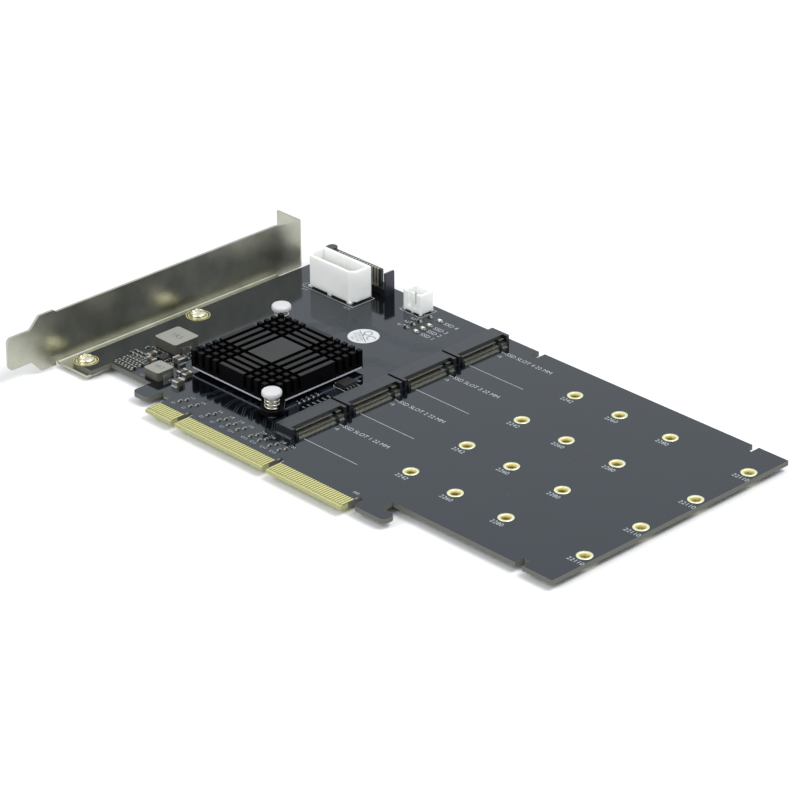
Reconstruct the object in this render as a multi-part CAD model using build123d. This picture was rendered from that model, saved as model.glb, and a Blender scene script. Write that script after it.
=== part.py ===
from build123d import *
import math
import os

# A full-height plug-in card that carries four flat solid-state drive modules.
# Millimetres. The origin is on the centre line of the key notch in the edge connector, at the tip of
# the contact fingers and on the component face of the board. +X runs along the card away from the
# slot bracket, +Y from the fingers to the free top edge and +Z out of the component face.

# Circuit board
board_thickness = 1.57
board_left = -52.7
board_right = 142.4
board_height = 109.9
board_low_edge = 12.3
foot_right = -42.7
foot_bottom = 4.6
foot_radius = 2.0
tongue_left = -23.9
tongue_right = -17.0
tongue_bottom = 4.8
tongue_radius = 1.6
tongue_slot_top = 10.8
hook_left = 73.8
hook_neck_right = 80.5
hook_right = 86.5
hook_bottom = 3.0
hook_top = 7.8
hook_radius = 1.9
hook_slot_top = 8.0
breakaway_slot_width = 2.5
breakaway_slot_depth = 3.4
top_slot_places = (44.5, 130.1)
bottom_slot_places = (129.75,)

# Edge connector
contact_pitch = 1.0
contact_width = 0.7
contact_length = 5.6
contact_thickness = 0.05
key_width = 1.9
key_depth = 8.0
key_end_margin = 0.65
key_to_contact = 1.5
short_group_contacts = 11
middle_group_contacts = 38
long_group_contacts = 31
second_notch_contacts = 2
bevel_height = 1.0
bevel_depth = 0.35

# Module sites
slot_count = 4
slot_pitch = 22.65
first_slot_y = 28.44
module_edge_x = 29.18
module_lengths = (42.0, 60.0, 80.0, 110.0)
module_hole_radius = 1.6

# Module sockets
socket_width = 21.7
socket_height = 3.1
socket_back = 3.28
socket_front = 3.9
socket_jaw_step = 0.66
socket_cheek = 1.1
socket_lip_setback = 1.7
socket_mouth_floor = 1.2
socket_mouth_height = 1.1
socket_key_offset = 6.125
socket_key_width = 1.1
socket_contact_pitch = 0.5
socket_contact_width = 0.26
socket_contact_thickness = 0.15
socket_contact_count = 36
socket_contact_setback = 0.6
socket_contact_overhang = 0.15
hold_down_width = 0.3
hold_down_thickness = 0.25
hold_down_margin = 0.4

# Slot bracket, folded from one sheet
sheet = 0.86
bend_radius = 0.5
bracket_face_x = -57.15
bracket_bottom_y = -15.35
bracket_length = 120.02
bracket_width = 18.42
bracket_step_y = 3.6
bracket_step = 0.8
bracket_shoulder_y = -2.9
tongue_width = 10.8
tongue_end_y = -6.6
tongue_tip_radius = 1.8
tongue_tip_offset = 3.95
flange_start_y = 3.4
flange_top_margin = 12.07
flange_reach = 13.6
tab_length = 11.43
tab_top_z = 13.6
tab_slot_width = 4.42
tab_slot_depth = 5.1
tab_slot_place = 6.35
relief_width = 0.8

# Bracket screws
screw_x = -49.3
screw_places_y = (8.0, 53.0)
screw_radius = 1.45
screw_head_radius = 2.7
screw_head_height = 1.7
screw_end_z = -3.6
screw_hole_clearance = 0.25
thread_clearance = 0.05

# Switch chip and heat sink
sink_centre = (-3.1, 44.4)
chip_side = 23.0
chip_body_side = 19.0
chip_substrate = 0.5
chip_height = 1.0
thermal_pad_side = 18.0
thermal_pad_thickness = 0.2
sink_side = 36.5
sink_base = 1.5
sink_height = 6.0
fin_rows = 4
centre_block_x = 10.6
centre_block_y = 13.8
fin_gap_share = 0.5
lug_offset = (20.6, 20.6)
lug_radius = 3.5
lug_hole_radius = 1.75

# Push pins and springs
pin_shaft_radius = 1.45
pin_head_radius = 3.05
pin_head_height = 1.8
pin_head_top = 8.6
pin_barb_radius = 1.9
pin_barb_length = 1.6
pin_hole_radius = 1.6
spring_wire = 0.5
spring_radius = 2.1
spring_turns = 3
spring_sides = 8
spring_end_clearance = 0.05

# Four-contact power header
power_x = -31.0
power_edge_gap = 14.15
power_width = 21.6
power_depth = 8.1
power_height = 11.1
power_wall = 1.0
power_standoff = 0.7
power_floor = 3.2
power_chamfer = 2.0
power_foot = 1.6
power_pin_pitch = 5.08
power_pin_radius = 1.05
power_pin_top = 9.0
power_tail_side = 1.1
tail_length = 1.2
tail_hole_clearance = 0.1

# Fifteen-contact power header
blade_header_x = -31.85
blade_header_edge_gap = 4.45
blade_header_length = 28.5
blade_header_depth = 3.9
blade_base_height = 2.4
blade_post_width = 3.3
blade_post_radius = 1.5
blade_post_top = 8.2
blade_end_wall = 0.7
blade_end_wall_top = 8.0
blade_length = 21.7
blade_height = 7.9
blade_thickness = 1.1
blade_contact_pitch = 1.27
blade_contact_margin = 0.6
blade_contact_width = 0.8
blade_contact_thickness = 0.15
blade_contact_tip_gap = 0.6
blade_key_depth = 1.2
blade_key_width = 1.2

# Two-contact fan header
fan_x = -3.55
fan_edge_gap = 5.7
fan_width = 7.6
fan_depth = 5.5
fan_height = 7.0
fan_wall = 0.8
fan_floor = 1.9
fan_foot = 0.5
fan_pin_pitch = 2.5
fan_pin_side = 0.64
fan_pin_top = 5.6
fan_slot_width = 1.3

# Inductors
large_inductor_centre = (-37.4, 34.2)
large_inductor_side = 9.8
large_inductor_height = 3.4
small_inductor_centre = (-26.0, 17.3)
small_inductor_side = 6.7
small_inductor_height = 2.8
inductor_edge_cut = 0.6
terminal_thickness = 0.2
terminal_width_share = 0.45
terminal_rise = 1.6

# Small chips: centre x, centre y, body length along x, along y, height, leads on each side
leaded_chips = (
    (18.8, 52.5, 3.9, 4.9, 1.5, 4),
    (-33.4, 25.3, 2.4, 3.0, 1.0, 3),
)
lead_pitch = 1.27
lead_pitch_small = 0.95
lead_width = 0.42
lead_reach = 1.0
lead_thickness = 0.2

# Surface parts: end-to-end length, width and height
size_0402 = (1.0, 0.5, 0.45)
size_0603 = (1.6, 0.8, 0.6)
size_1206 = (3.2, 1.6, 1.3)
size_1210 = (3.2, 2.5, 1.7)

# Label and indicator lamps
label_centre = (-2.05, 79.2)
label_radius = 4.95
label_thickness = 0.12
lamp_x = 7.0
lamp_edge_gaps = (16.9, 14.0, 11.1, 6.6)
lamp_resistor_x = 2.4


def block(x_range, y_range, z_range):
    """A box between pairs of coordinates."""
    low = [min(pair) for pair in (x_range, y_range, z_range)]
    size = [abs(pair[1] - pair[0]) for pair in (x_range, y_range, z_range)]
    return Pos(*low) * Box(*size, align=(Align.MIN, Align.MIN, Align.MIN))


def rod(x, y, radius, z_range):
    """An upright cylinder between two heights."""
    height = z_range[1] - z_range[0]
    base = Pos(x, y, z_range[0])
    return base * Cylinder(radius, height, align=(Align.CENTER, Align.CENTER, Align.MIN))


def rectangle(x_range, y_range):
    """A flat rectangle on the component face between pairs of coordinates."""
    width = x_range[1] - x_range[0]
    depth = y_range[1] - y_range[0]
    return Pos(x_range[0], y_range[0]) * Rectangle(width, depth, align=(Align.MIN, Align.MIN))


def corners_near(sketch, places):
    """The corners of a sketch that lie at the given places."""
    found = []
    for corner in sketch.vertices():
        if any(math.hypot(corner.X - x, corner.Y - y) < 0.05 for x, y in places):
            found.append(corner)
    return found


def save(name, solids):
    """Write one node, made of one solid or of a group of separate solids."""
    if isinstance(solids, list):
        solids = Compound(children=solids)
    export_step(solids, f"parts/{name}.step")


# Edge connector places, worked out from the contact pitch

short_group_first = -key_to_contact - (short_group_contacts - 1) * contact_pitch
middle_group_first = key_to_contact
middle_group_last = middle_group_first + (middle_group_contacts - 1) * contact_pitch
long_group_first = middle_group_last + (second_notch_contacts + 1) * contact_pitch
long_group_last = long_group_first + (long_group_contacts - 1) * contact_pitch
connector_left = short_group_first - key_end_margin
connector_right = long_group_last + key_end_margin
second_notch_centre = (middle_group_last + long_group_first) / 2

# Headers and lamps keep their distance from the top edge of the board

power_centre = (power_x, board_height - power_edge_gap)
blade_header_centre = (blade_header_x, board_height - blade_header_edge_gap)
fan_centre = (fan_x, board_height - fan_edge_gap)
lamp_rows_y = [board_height - gap for gap in lamp_edge_gaps]

# The tongue of the fifteen-contact header starts at the left post; as many contacts stand on it as
# fit between its key and its free end

blade_header_left = blade_header_x - blade_header_length / 2
blade_header_right = blade_header_x + blade_header_length / 2
blade_left = blade_header_left + blade_post_width
blade_contact_room = blade_length - blade_key_width - 2 * blade_contact_margin - blade_contact_width
blade_contact_count = int(blade_contact_room / blade_contact_pitch) + 1

# The bracket's flange ends below the fold of its tab

bracket_top_y = bracket_bottom_y + bracket_length
flange_end_y = bracket_top_y - flange_top_margin


def slot_y(slot):
    """Centre line of one module site."""
    return first_slot_y + slot * slot_pitch


def module_hole_places():
    """Centres of the fixing holes of all module lengths at all sites."""
    places = []
    for slot in range(slot_count):
        for length in module_lengths:
            places.append((module_edge_x + length, slot_y(slot)))
    return places


def power_pin_places():
    """Centres of the round pins in the four-contact header."""
    first = power_centre[0] - 1.5 * power_pin_pitch
    return [(first + i * power_pin_pitch, power_centre[1]) for i in range(4)]


def fan_pin_places():
    """Centres of the square pins in the fan header."""
    return [(fan_centre[0] + side * fan_pin_pitch / 2, fan_centre[1]) for side in (-1, 1)]


def push_pin_places():
    """Centres of the two push pins, at opposite corners of the heat sink."""
    places = []
    for side in (1, -1):
        places.append((sink_centre[0] + side * lug_offset[0], sink_centre[1] - side * lug_offset[1]))
    return places


def board_outline():
    """The routed outline, with connector fingers, tongue, hook and foot."""
    outline = rectangle((board_left, board_right), (board_low_edge, board_height))
    outline += rectangle((board_left, foot_right), (foot_bottom, board_low_edge))
    outline += rectangle((tongue_left, tongue_right), (tongue_bottom, board_low_edge))
    outline += rectangle((tongue_right, connector_left), (tongue_slot_top, board_low_edge))
    outline += rectangle((connector_left, connector_right), (0, board_low_edge))
    outline += rectangle((connector_right, hook_left), (hook_slot_top, board_low_edge))
    outline += rectangle((hook_left, hook_neck_right), (hook_bottom, board_low_edge))
    outline += rectangle((hook_neck_right, hook_right), (hook_bottom, hook_top))
    for centre in (0, second_notch_centre):
        notch = (centre - key_width / 2, centre + key_width / 2)
        outline -= rectangle(notch, (0, key_depth))
    for x in top_slot_places:
        notch = (x - breakaway_slot_width / 2, x + breakaway_slot_width / 2)
        outline -= rectangle(notch, (board_height - breakaway_slot_depth, board_height))
    for x in bottom_slot_places:
        notch = (x - breakaway_slot_width / 2, x + breakaway_slot_width / 2)
        outline -= rectangle(notch, (board_low_edge, board_low_edge + breakaway_slot_depth))
    rounds = (
        (foot_radius, [(board_left, foot_bottom)]),
        (tongue_radius, [(tongue_left, tongue_bottom), (tongue_right, tongue_bottom)]),
        (hook_radius, [(hook_right, hook_top), (hook_right, hook_bottom)]),
        (hook_radius, [(hook_left, hook_bottom)]),
    )
    for radius, places in rounds:
        outline = fillet(corners_near(outline, places), radius)
    return outline


def circuit_board():
    """The bare board: outline, drilled holes and bevelled finger tips."""
    board = extrude(board_outline(), -board_thickness)
    depth = (-board_thickness - 1, 1)
    holes = [(place, module_hole_radius) for place in module_hole_places()]
    holes += [((screw_x, y), screw_radius + screw_hole_clearance) for y in screw_places_y]
    holes += [(place, pin_hole_radius) for place in push_pin_places()]
    board -= [rod(x, y, radius, depth) for (x, y), radius in holes]
    tails = [(place, power_tail_side) for place in power_pin_places()]
    tails += [(place, fan_pin_side) for place in fan_pin_places()]
    for (x, y), tail_side in tails:
        side = tail_side / 2 + tail_hole_clearance
        board -= block((x - side, x + side), (y - side, y + side), depth)
    for face_z, side in ((0, 1), (-board_thickness, -1)):
        corner = [(0, face_z), (bevel_height, face_z), (0, face_z - side * bevel_depth)]
        wedge = make_face(Plane.YZ * Polyline(*corner, close=True))
        middle = (connector_left + connector_right) / 2
        board -= Pos(middle, 0, 0) * extrude(wedge, connector_right - middle + 1, both=True)
    return board


def edge_contacts():
    """Gold-plated contact fingers on both faces."""
    groups = (
        (short_group_first, short_group_contacts),
        (middle_group_first, middle_group_contacts),
        (long_group_first, long_group_contacts),
    )
    fingers = []
    half = contact_width / 2
    for first, count in groups:
        for i in range(count):
            x = first + i * contact_pitch
            for z in (0, -board_thickness - contact_thickness):
                height = (z, z + contact_thickness)
                fingers.append(block((x - half, x + half), (bevel_height, contact_length), height))
    return fingers


def bracket_plate():
    """The flat face plate with its narrow tongue, before the folds."""
    low = -board_thickness - sheet
    high = low + bracket_width
    tip_low = low + tongue_tip_offset
    tip_high = tip_low + tongue_width
    stepped = high - bracket_step
    points = [
        (bracket_bottom_y, tip_low), (tongue_end_y, tip_low), (bracket_shoulder_y, low),
        (flange_start_y - relief_width, low), (flange_start_y - relief_width, low + sheet + bend_radius),
        (flange_end_y, low + sheet + bend_radius), (flange_end_y, low),
        (bracket_top_y - sheet - bend_radius, low), (bracket_top_y - sheet - bend_radius, tab_top_z),
        (bracket_top_y - tab_length, stepped), (bracket_step_y, stepped), (bracket_step_y - bracket_step, high),
        (bracket_shoulder_y, high), (tongue_end_y, tip_high), (bracket_bottom_y, tip_high),
    ]
    outline = make_face(Polyline(*points, close=True))
    tips = [(bracket_bottom_y, tip_low), (bracket_bottom_y, tip_high)]
    outline = fillet(corners_near(outline, tips), tongue_tip_radius)
    soft = [(tongue_end_y, tip_low), (tongue_end_y, tip_high), (bracket_shoulder_y, low)]
    outline = fillet(corners_near(outline, soft), bend_radius)
    return Pos(bracket_face_x, 0, 0) * (Plane.YZ * extrude(outline, -sheet))


def fold_section(reach):
    """Section of a right-angled fold: the bend and a floor of the given reach."""
    inner = bend_radius
    outer = bend_radius + sheet
    quarter = Circle(outer) - Circle(inner)
    quarter &= Pos(-outer, -outer) * Rectangle(outer, outer, align=(Align.MIN, Align.MIN))
    floor = Pos(0, -outer) * Rectangle(reach - inner, sheet, align=(Align.MIN, Align.MIN))
    return quarter + floor


def slot_bracket():
    """Face plate, the flange folded under the board and the screw tab folded outwards."""
    plate = bracket_plate()
    low = -board_thickness - sheet
    bend = bend_radius + sheet
    flange = Plane.XZ * extrude(fold_section(flange_reach), flange_start_y - flange_end_y)
    flange = Pos(bracket_face_x + bend_radius, flange_start_y, low + bend) * flange
    tab = extrude(fold_section(tab_length - sheet), tab_top_z - low)
    tab = Pos(bracket_face_x - bend, bracket_top_y - bend, low) * Rot(0, 0, 180) * tab
    bracket = plate + flange + tab
    slot_x = bracket_face_x - sheet - tab_slot_place
    half = tab_slot_width / 2
    slot_end = low + tab_slot_depth - half
    slot_section = Pos(slot_x, slot_end) * Circle(half)
    slot_section += rectangle((slot_x - half, slot_x + half), (low - sheet, slot_end))
    bracket -= Pos(0, bracket_top_y, 0) * (Plane.XZ * extrude(slot_section, 2 * sheet, both=True))
    for y in screw_places_y:
        bracket -= rod(screw_x, y, screw_radius + thread_clearance, (low - 1, low + sheet + 0.2))
    return bracket


def bracket_screw(x, y):
    """A flat-topped machine screw, from the board's face through the flange."""
    screw = rod(x, y, screw_radius, (screw_end_z, 0))
    head = rod(x, y, screw_head_radius, (0, screw_head_height))
    return screw + head


def switch_chip():
    """A ball-grid package: square substrate with a smaller moulded body."""
    x, y = sink_centre
    half = chip_side / 2
    body = chip_body_side / 2
    chip = block((x - half, x + half), (y - half, y + half), (0, chip_substrate))
    return chip + block((x - body, x + body), (y - body, y + body), (chip_substrate, chip_height))


def thermal_pad():
    """The thin soft pad between chip and heat sink."""
    x, y = sink_centre
    half = thermal_pad_side / 2
    return block((x - half, x + half), (y - half, y + half), (chip_height, chip_height + thermal_pad_thickness))


def fin_slots(centre, centre_block, low_z, high_z, along_x):
    """Saw cuts either side of the uncut centre block, running the whole width of the sink."""
    cuts = []
    pitch = (sink_side - centre_block) / 2 / fin_rows
    gap = pitch * fin_gap_share
    half = sink_side / 2
    for side in (-1, 1):
        for row in range(fin_rows):
            start = centre_block / 2 + row * pitch
            reach = sorted((side * start, side * (start + gap)))
            if along_x:
                x_range = (centre[0] - half - 1, centre[0] + half + 1)
                y_range = (centre[1] + reach[0], centre[1] + reach[1])
            else:
                x_range = (centre[0] + reach[0], centre[0] + reach[1])
                y_range = (centre[1] - half - 1, centre[1] + half + 1)
            cuts.append(block(x_range, y_range, (low_z, high_z)))
    return cuts


def heat_sink():
    """A sawn aluminium block: cuts in both directions leave ridges at the sides and pins at the corners."""
    x, y = sink_centre
    half = sink_side / 2
    bottom = chip_height + thermal_pad_thickness
    floor = bottom + sink_base
    top = bottom + sink_height
    sink = block((x - half, x + half), (y - half, y + half), (bottom, top))
    cuts = fin_slots(sink_centre, centre_block_x, floor, top + 1, along_x=False)
    cuts += fin_slots(sink_centre, centre_block_y, floor, top + 1, along_x=True)
    sink -= cuts
    for pin_x, pin_y in push_pin_places():
        inward_x = math.copysign(lug_radius, x - pin_x)
        inward_y = math.copysign(lug_radius, y - pin_y)
        lug = Pos(pin_x, pin_y) * Circle(lug_radius)
        lug += make_face(Polyline(
            (pin_x + inward_x * math.sqrt(0.5), pin_y - inward_y * math.sqrt(0.5)),
            (pin_x - inward_x * math.sqrt(0.5), pin_y + inward_y * math.sqrt(0.5)),
            (pin_x - inward_x * math.sqrt(0.5) + 2 * inward_x, pin_y + inward_y * math.sqrt(0.5) + 2 * inward_y),
            (pin_x + inward_x * math.sqrt(0.5) + 2 * inward_x, pin_y - inward_y * math.sqrt(0.5) + 2 * inward_y),
            close=True))
        sink += Pos(0, 0, bottom) * extrude(lug, sink_base)
        sink -= rod(pin_x, pin_y, lug_hole_radius, (bottom - 1, floor + 1))
    return sink


def push_pin(x, y):
    """A nylon pin: bevelled head, shaft and a barbed tip that snaps in below the board."""
    head_low = pin_head_top - pin_head_height
    barb = -board_thickness
    dome = pin_head_height * 0.35
    profile = [
        (0, pin_head_top), (pin_head_radius * 0.7, pin_head_top), (pin_head_radius, pin_head_top - dome),
        (pin_head_radius, head_low), (pin_shaft_radius, head_low), (pin_shaft_radius, barb),
        (pin_barb_radius, barb), (pin_shaft_radius * 0.6, barb - pin_barb_length), (0, barb - pin_barb_length),
    ]
    section = make_face(Plane.XZ * Polyline(*profile, close=True))
    return Pos(x, y, 0) * revolve(section, Axis.Z)


def spring(x, y):
    """A compression spring between the lug and its pin's head, in short straight lengths of wire."""
    low = chip_height + thermal_pad_thickness + sink_base + spring_wire / 2 + spring_end_clearance
    high = pin_head_top - pin_head_height - spring_wire / 2 - spring_end_clearance
    points = []
    steps = spring_turns * spring_sides
    for i in range(steps + 1):
        turn = 2 * math.pi * i / spring_sides
        height = low + (high - low) * i / steps
        points.append((spring_radius * math.cos(turn), spring_radius * math.sin(turn), height))
    path = Polyline(*points)
    section = Plane(origin=path @ 0, z_dir=path % 0) * Rectangle(spring_wire, spring_wire)
    return Pos(x, y) * sweep(section, path=path, transition=Transition.RIGHT)


def socket_section_x():
    """The X places of a socket: its back, the front of its cheeks and the front of its lower jaw."""
    back = module_edge_x - socket_back
    front = module_edge_x + socket_front
    return back, front, front + socket_jaw_step


def socket_housing(slot):
    """A moulded socket: two cheeks, a set-back upper lip, the lower jaw and the key rib."""
    y = slot_y(slot)
    half = socket_width / 2
    inner = half - socket_cheek
    back, front, jaw = socket_section_x()
    mouth_top = socket_mouth_floor + socket_mouth_height
    housing = block((back, front), (y - half, y + half), (0, socket_height))
    housing += block((front, jaw), (y - inner, y + inner), (0, socket_mouth_floor))
    housing -= block((module_edge_x, jaw + 1), (y - inner, y + inner), (socket_mouth_floor, mouth_top))
    housing -= block((front - socket_lip_setback, jaw + 1), (y - inner, y + inner), (mouth_top, socket_height + 1))
    rib = y + socket_key_offset
    housing += block((module_edge_x, front - socket_lip_setback),
                     (rib - socket_key_width / 2, rib + socket_key_width / 2), (socket_mouth_floor, mouth_top))
    return housing


def socket_contact_places(slot):
    """Contact centres along one row, without those that the key rib displaces."""
    first = slot_y(slot) - (socket_contact_count - 1) / 2 * socket_contact_pitch
    rib = slot_y(slot) + socket_key_offset
    places = []
    for i in range(socket_contact_count):
        y = first + i * socket_contact_pitch
        if abs(y - rib) > socket_key_width / 2 + socket_contact_width:
            places.append(y)
    return places


def socket_contacts(slot):
    """The lower row of contact blades, which lie on the lower jaw and end past its front."""
    jaw = socket_section_x()[2]
    floor = socket_mouth_floor
    reach = (module_edge_x + socket_contact_setback, jaw + socket_contact_overhang)
    height = (floor, floor + socket_contact_thickness)
    half = socket_contact_width / 2
    return [block(reach, (y - half, y + half), height) for y in socket_contact_places(slot)]


def hold_downs():
    """Tinned strips that solder both ends of each socket to the board."""
    strips = []
    back, front, jaw = socket_section_x()
    reach = (back + hold_down_margin, front - hold_down_margin)
    for slot in range(slot_count):
        for side in (-1, 1):
            end = slot_y(slot) + side * socket_width / 2
            strips.append(block(reach, (end, end + side * hold_down_width), (0, hold_down_thickness)))
    return strips


def power_housing():
    """The shroud of the four-contact header: open top, two cut corners and stand-off feet."""
    x, y = power_centre
    half_x = power_width / 2
    half_y = power_depth / 2
    cut = [(x - half_x, y - half_y), (x + half_x, y - half_y)]
    outer = rectangle((x - half_x, x + half_x), (y - half_y, y + half_y))
    outer = chamfer(corners_near(outer, cut), power_chamfer)
    housing = Pos(0, 0, power_standoff) * extrude(outer, power_height - power_standoff)
    hollow = offset(outer, -power_wall, kind=Kind.INTERSECTION)
    housing -= Pos(0, 0, power_floor) * extrude(hollow, power_height)
    for foot_x in (x - half_x + power_chamfer, x, x + half_x - power_chamfer):
        for foot_y in (y - half_y, y + half_y - power_foot):
            housing += block((foot_x - power_foot / 2, foot_x + power_foot / 2), (foot_y, foot_y + power_foot),
                             (0, power_standoff))
    side = power_pin_radius
    for pin_x, pin_y in power_pin_places():
        housing -= block((pin_x - side, pin_x + side), (pin_y - side, pin_y + side), (0, power_floor + 1))
    return housing


def power_pin(x, y):
    """A round pin with a square tail through the board."""
    side = power_tail_side / 2
    tail = block((x - side, x + side), (y - side, y + side), (-board_thickness - tail_length, power_standoff))
    return tail + rod(x, y, power_pin_radius, (power_standoff, power_pin_top))


def blade_housing():
    """The moulding of the fifteen-contact header: base, tongue, round post, thin end wall and key."""
    y = blade_header_centre[1]
    half_y = blade_header_depth / 2
    depth = (y - half_y, y + half_y)
    post = rectangle((blade_header_left, blade_left), depth)
    round_corners = [(x, side_y) for x in (blade_header_left, blade_left) for side_y in depth]
    post = fillet(corners_near(post, round_corners), blade_post_radius)
    base = rectangle((blade_header_left, blade_header_right), depth)
    outer_corners = [(blade_header_left, side_y) for side_y in depth]
    base = fillet(corners_near(base, outer_corners), blade_post_radius)
    housing = extrude(base, blade_base_height) + extrude(post, blade_post_top)
    tongue_y = (y - blade_thickness / 2, y + blade_thickness / 2)
    start = blade_header_left + blade_post_width / 2
    housing += block((start, blade_left + blade_length), tongue_y, (0, blade_height))
    wall = (blade_header_right - blade_end_wall, blade_header_right)
    housing += block(wall, depth, (0, blade_end_wall_top))
    key = (blade_left, blade_left + blade_key_width)
    housing += block(key, (tongue_y[0] - blade_key_depth, y), (0, blade_height))
    return housing


def blade_contacts():
    """Flat contacts: each lies on the front of the tongue and bends forward over the base."""
    y = blade_header_centre[1]
    front = y - blade_thickness / 2
    base_front = y - blade_header_depth / 2
    thick = blade_contact_thickness
    low = blade_base_height
    high = blade_height - blade_contact_tip_gap
    profile = [
        (front, low), (front, high), (front - thick, high),
        (front - thick, low + thick), (base_front, low + thick), (base_front, low),
    ]
    section = make_face(Plane.YZ * Polyline(*profile, close=True))
    blade = extrude(section, blade_contact_width / 2, both=True)
    free_middle = blade_left + (blade_key_width + blade_length) / 2
    first = free_middle - (blade_contact_count - 1) / 2 * blade_contact_pitch
    places = [first + i * blade_contact_pitch for i in range(blade_contact_count)]
    return [Pos(place, 0, 0) * blade for place in places]


def fan_housing():
    """The shroud of the fan header: open top, two slots in the front wall and low feet."""
    x, y = fan_centre
    half_x = fan_width / 2
    half_y = fan_depth / 2
    housing = block((x - half_x, x + half_x), (y - half_y, y + half_y), (fan_foot, fan_height))
    hollow_x = (x - half_x + fan_wall, x + half_x - fan_wall)
    housing -= block(hollow_x, (y - half_y + fan_wall, y + half_y - fan_wall), (fan_floor, fan_height + 1))
    for pin_x, pin_y in fan_pin_places():
        slot = (pin_x - fan_slot_width / 2, pin_x + fan_slot_width / 2)
        housing -= block(slot, (y - half_y - 1, y - half_y + fan_wall), (fan_floor, fan_height + 1))
        side = fan_pin_side / 2
        housing -= block((pin_x - side, pin_x + side), (pin_y - side, pin_y + side), (0, fan_floor + 1))
    for side in (-1, 0, 1):
        foot_x = x + side * (half_x - fan_wall / 2)
        for foot_y in (y - half_y, y + half_y - fan_wall):
            housing += block((foot_x - fan_wall / 2, foot_x + fan_wall / 2), (foot_y, foot_y + fan_wall),
                             (0, fan_foot))
    return housing


def fan_pins():
    """Square pins of the fan header."""
    side = fan_pin_side / 2
    low = -board_thickness - tail_length
    return [block((x - side, x + side), (y - side, y + side), (low, fan_pin_top)) for x, y in fan_pin_places()]


def inductor(centre, side, height):
    """A moulded power inductor with cut upright edges."""
    x, y = centre
    half = side / 2
    body = block((x - half, x + half), (y - half, y + half), (0, height))
    return chamfer(body.edges().filter_by(Axis.Z), inductor_edge_cut)


def inductor_terminals():
    """Tinned strips folded up two opposite sides of each inductor."""
    strips = []
    sizes = (
        (large_inductor_centre, large_inductor_side, large_inductor_height),
        (small_inductor_centre, small_inductor_side, small_inductor_height),
    )
    for (x, y), side, height in sizes:
        half = side * terminal_width_share / 2
        for sign in (-1, 1):
            face = x + sign * side / 2
            rise = min(terminal_rise, height)
            strips.append(block((face, face + sign * terminal_thickness), (y - half, y + half), (0, rise)))
    return strips


def leaded_chip_bodies():
    """Moulded bodies of the small leaded chips."""
    bodies = []
    for x, y, length, width, height, leads in leaded_chips:
        body = block((x - length / 2, x + length / 2), (y - width / 2, y + width / 2),
                     (lead_thickness / 2, height))
        bodies.append(body)
    return bodies


def leaded_chip_leads():
    """Bent leads: out of the side of each body and down to the board."""
    leads = []
    thick = lead_thickness
    for x, y, length, width, height, count in leaded_chips:
        pitch = lead_pitch if count > 3 else lead_pitch_small
        level = height / 2
        for side in (-1, 1):
            edge = x + side * length / 2
            bend = edge + side * lead_reach
            profile = [
                (edge, level), (bend, level), (bend, 0), (bend - side * thick, 0),
                (bend - side * thick, level - thick), (edge, level - thick),
            ]
            lead = extrude(make_face(Plane.XZ * Polyline(*profile, close=True)), lead_width / 2, both=True)
            for i in range(count):
                place = y + (i - (count - 1) / 2) * pitch
                leads.append(Pos(0, place, 0) * lead)
    return leads


# Surface parts: centre x, centre y, size, and whether the part lies along X

coupling_x = (-8.0, -3.3, 4.6, 9.5, 13.6, 17.7, 23.4, 27.2, 31.7, 35.7)
coupling_low_y = 10.4
coupling_step = (0.9, 1.9)


def coupling_parts():
    """Pairs of small capacitors in the data lanes, just above the connector fingers."""
    parts = []
    for x in coupling_x:
        parts.append((x - coupling_step[0] / 2, coupling_low_y, size_0402, False))
        parts.append((x + coupling_step[0] / 2, coupling_low_y + coupling_step[1], size_0402, False))
    return parts


def supply_capacitor_parts():
    """Larger capacitors round the voltage regulators."""
    return [
        (-37.2, 24.0, size_1206, False), (-34.6, 21.6, size_1206, True), (-28.3, 27.1, size_1210, True),
        (-21.6, 22.6, size_1206, False), (-19.2, 22.6, size_1206, False), (-16.9, 17.0, size_1210, False),
    ]


def small_part_rows():
    """Rows of small parts in front of the regulators and beside the heat sink."""
    parts = []
    for i in range(6):
        parts.append((-42.0 + i * 1.45, 17.7, size_0603, False))
        parts.append((-42.0 + i * 1.45, 14.6, size_0603, False))
    for i in range(5):
        parts.append((17.0, 34.5 + i * 1.9, size_0402, True))
    for i in range(4):
        parts.append((-41.0 + i * 1.9, 28.0, size_0402, True))
    return parts


def lamp_parts():
    """Series resistors of the indicator lamps."""
    return [(lamp_resistor_x, y, size_0603, True) for y in lamp_rows_y]


def surface_parts(parts):
    """The bodies of a group of small two-ended parts."""
    bodies = []
    for x, y, size, along_x in parts:
        length, width, height = size
        reach = (length / 2, width / 2) if along_x else (width / 2, length / 2)
        bodies.append(block((x - reach[0], x + reach[0]), (y - reach[1], y + reach[1]), (0, height)))
    return bodies


def status_lamps():
    """Small moulded indicator lamps."""
    return surface_parts([(lamp_x, y, size_0603, True) for y in lamp_rows_y])


os.makedirs("parts", exist_ok=True)

save("circuit_board", circuit_board())
save("edge_contacts", edge_contacts())
save("slot_bracket", slot_bracket())
save("bracket_screws", [bracket_screw(screw_x, y) for y in screw_places_y])
save("switch_chip", switch_chip())
save("thermal_pad", thermal_pad())
save("heat_sink", heat_sink())
save("push_pins", [push_pin(x, y) for x, y in push_pin_places()])
save("push_pin_springs", [spring(x, y) for x, y in push_pin_places()])
for slot in range(slot_count):
    save(f"module_socket_{slot + 1}", socket_housing(slot))
    save(f"socket_contacts_{slot + 1}", socket_contacts(slot))
save("socket_hold_downs", hold_downs())
save("power_header_housing", power_housing())
save("power_header_pins", [power_pin(x, y) for x, y in power_pin_places()])
save("blade_header_housing", blade_housing())
save("blade_header_contacts", blade_contacts())
save("fan_header_housing", fan_housing())
save("fan_header_pins", fan_pins())
save("inductor_large", inductor(large_inductor_centre, large_inductor_side, large_inductor_height))
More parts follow.
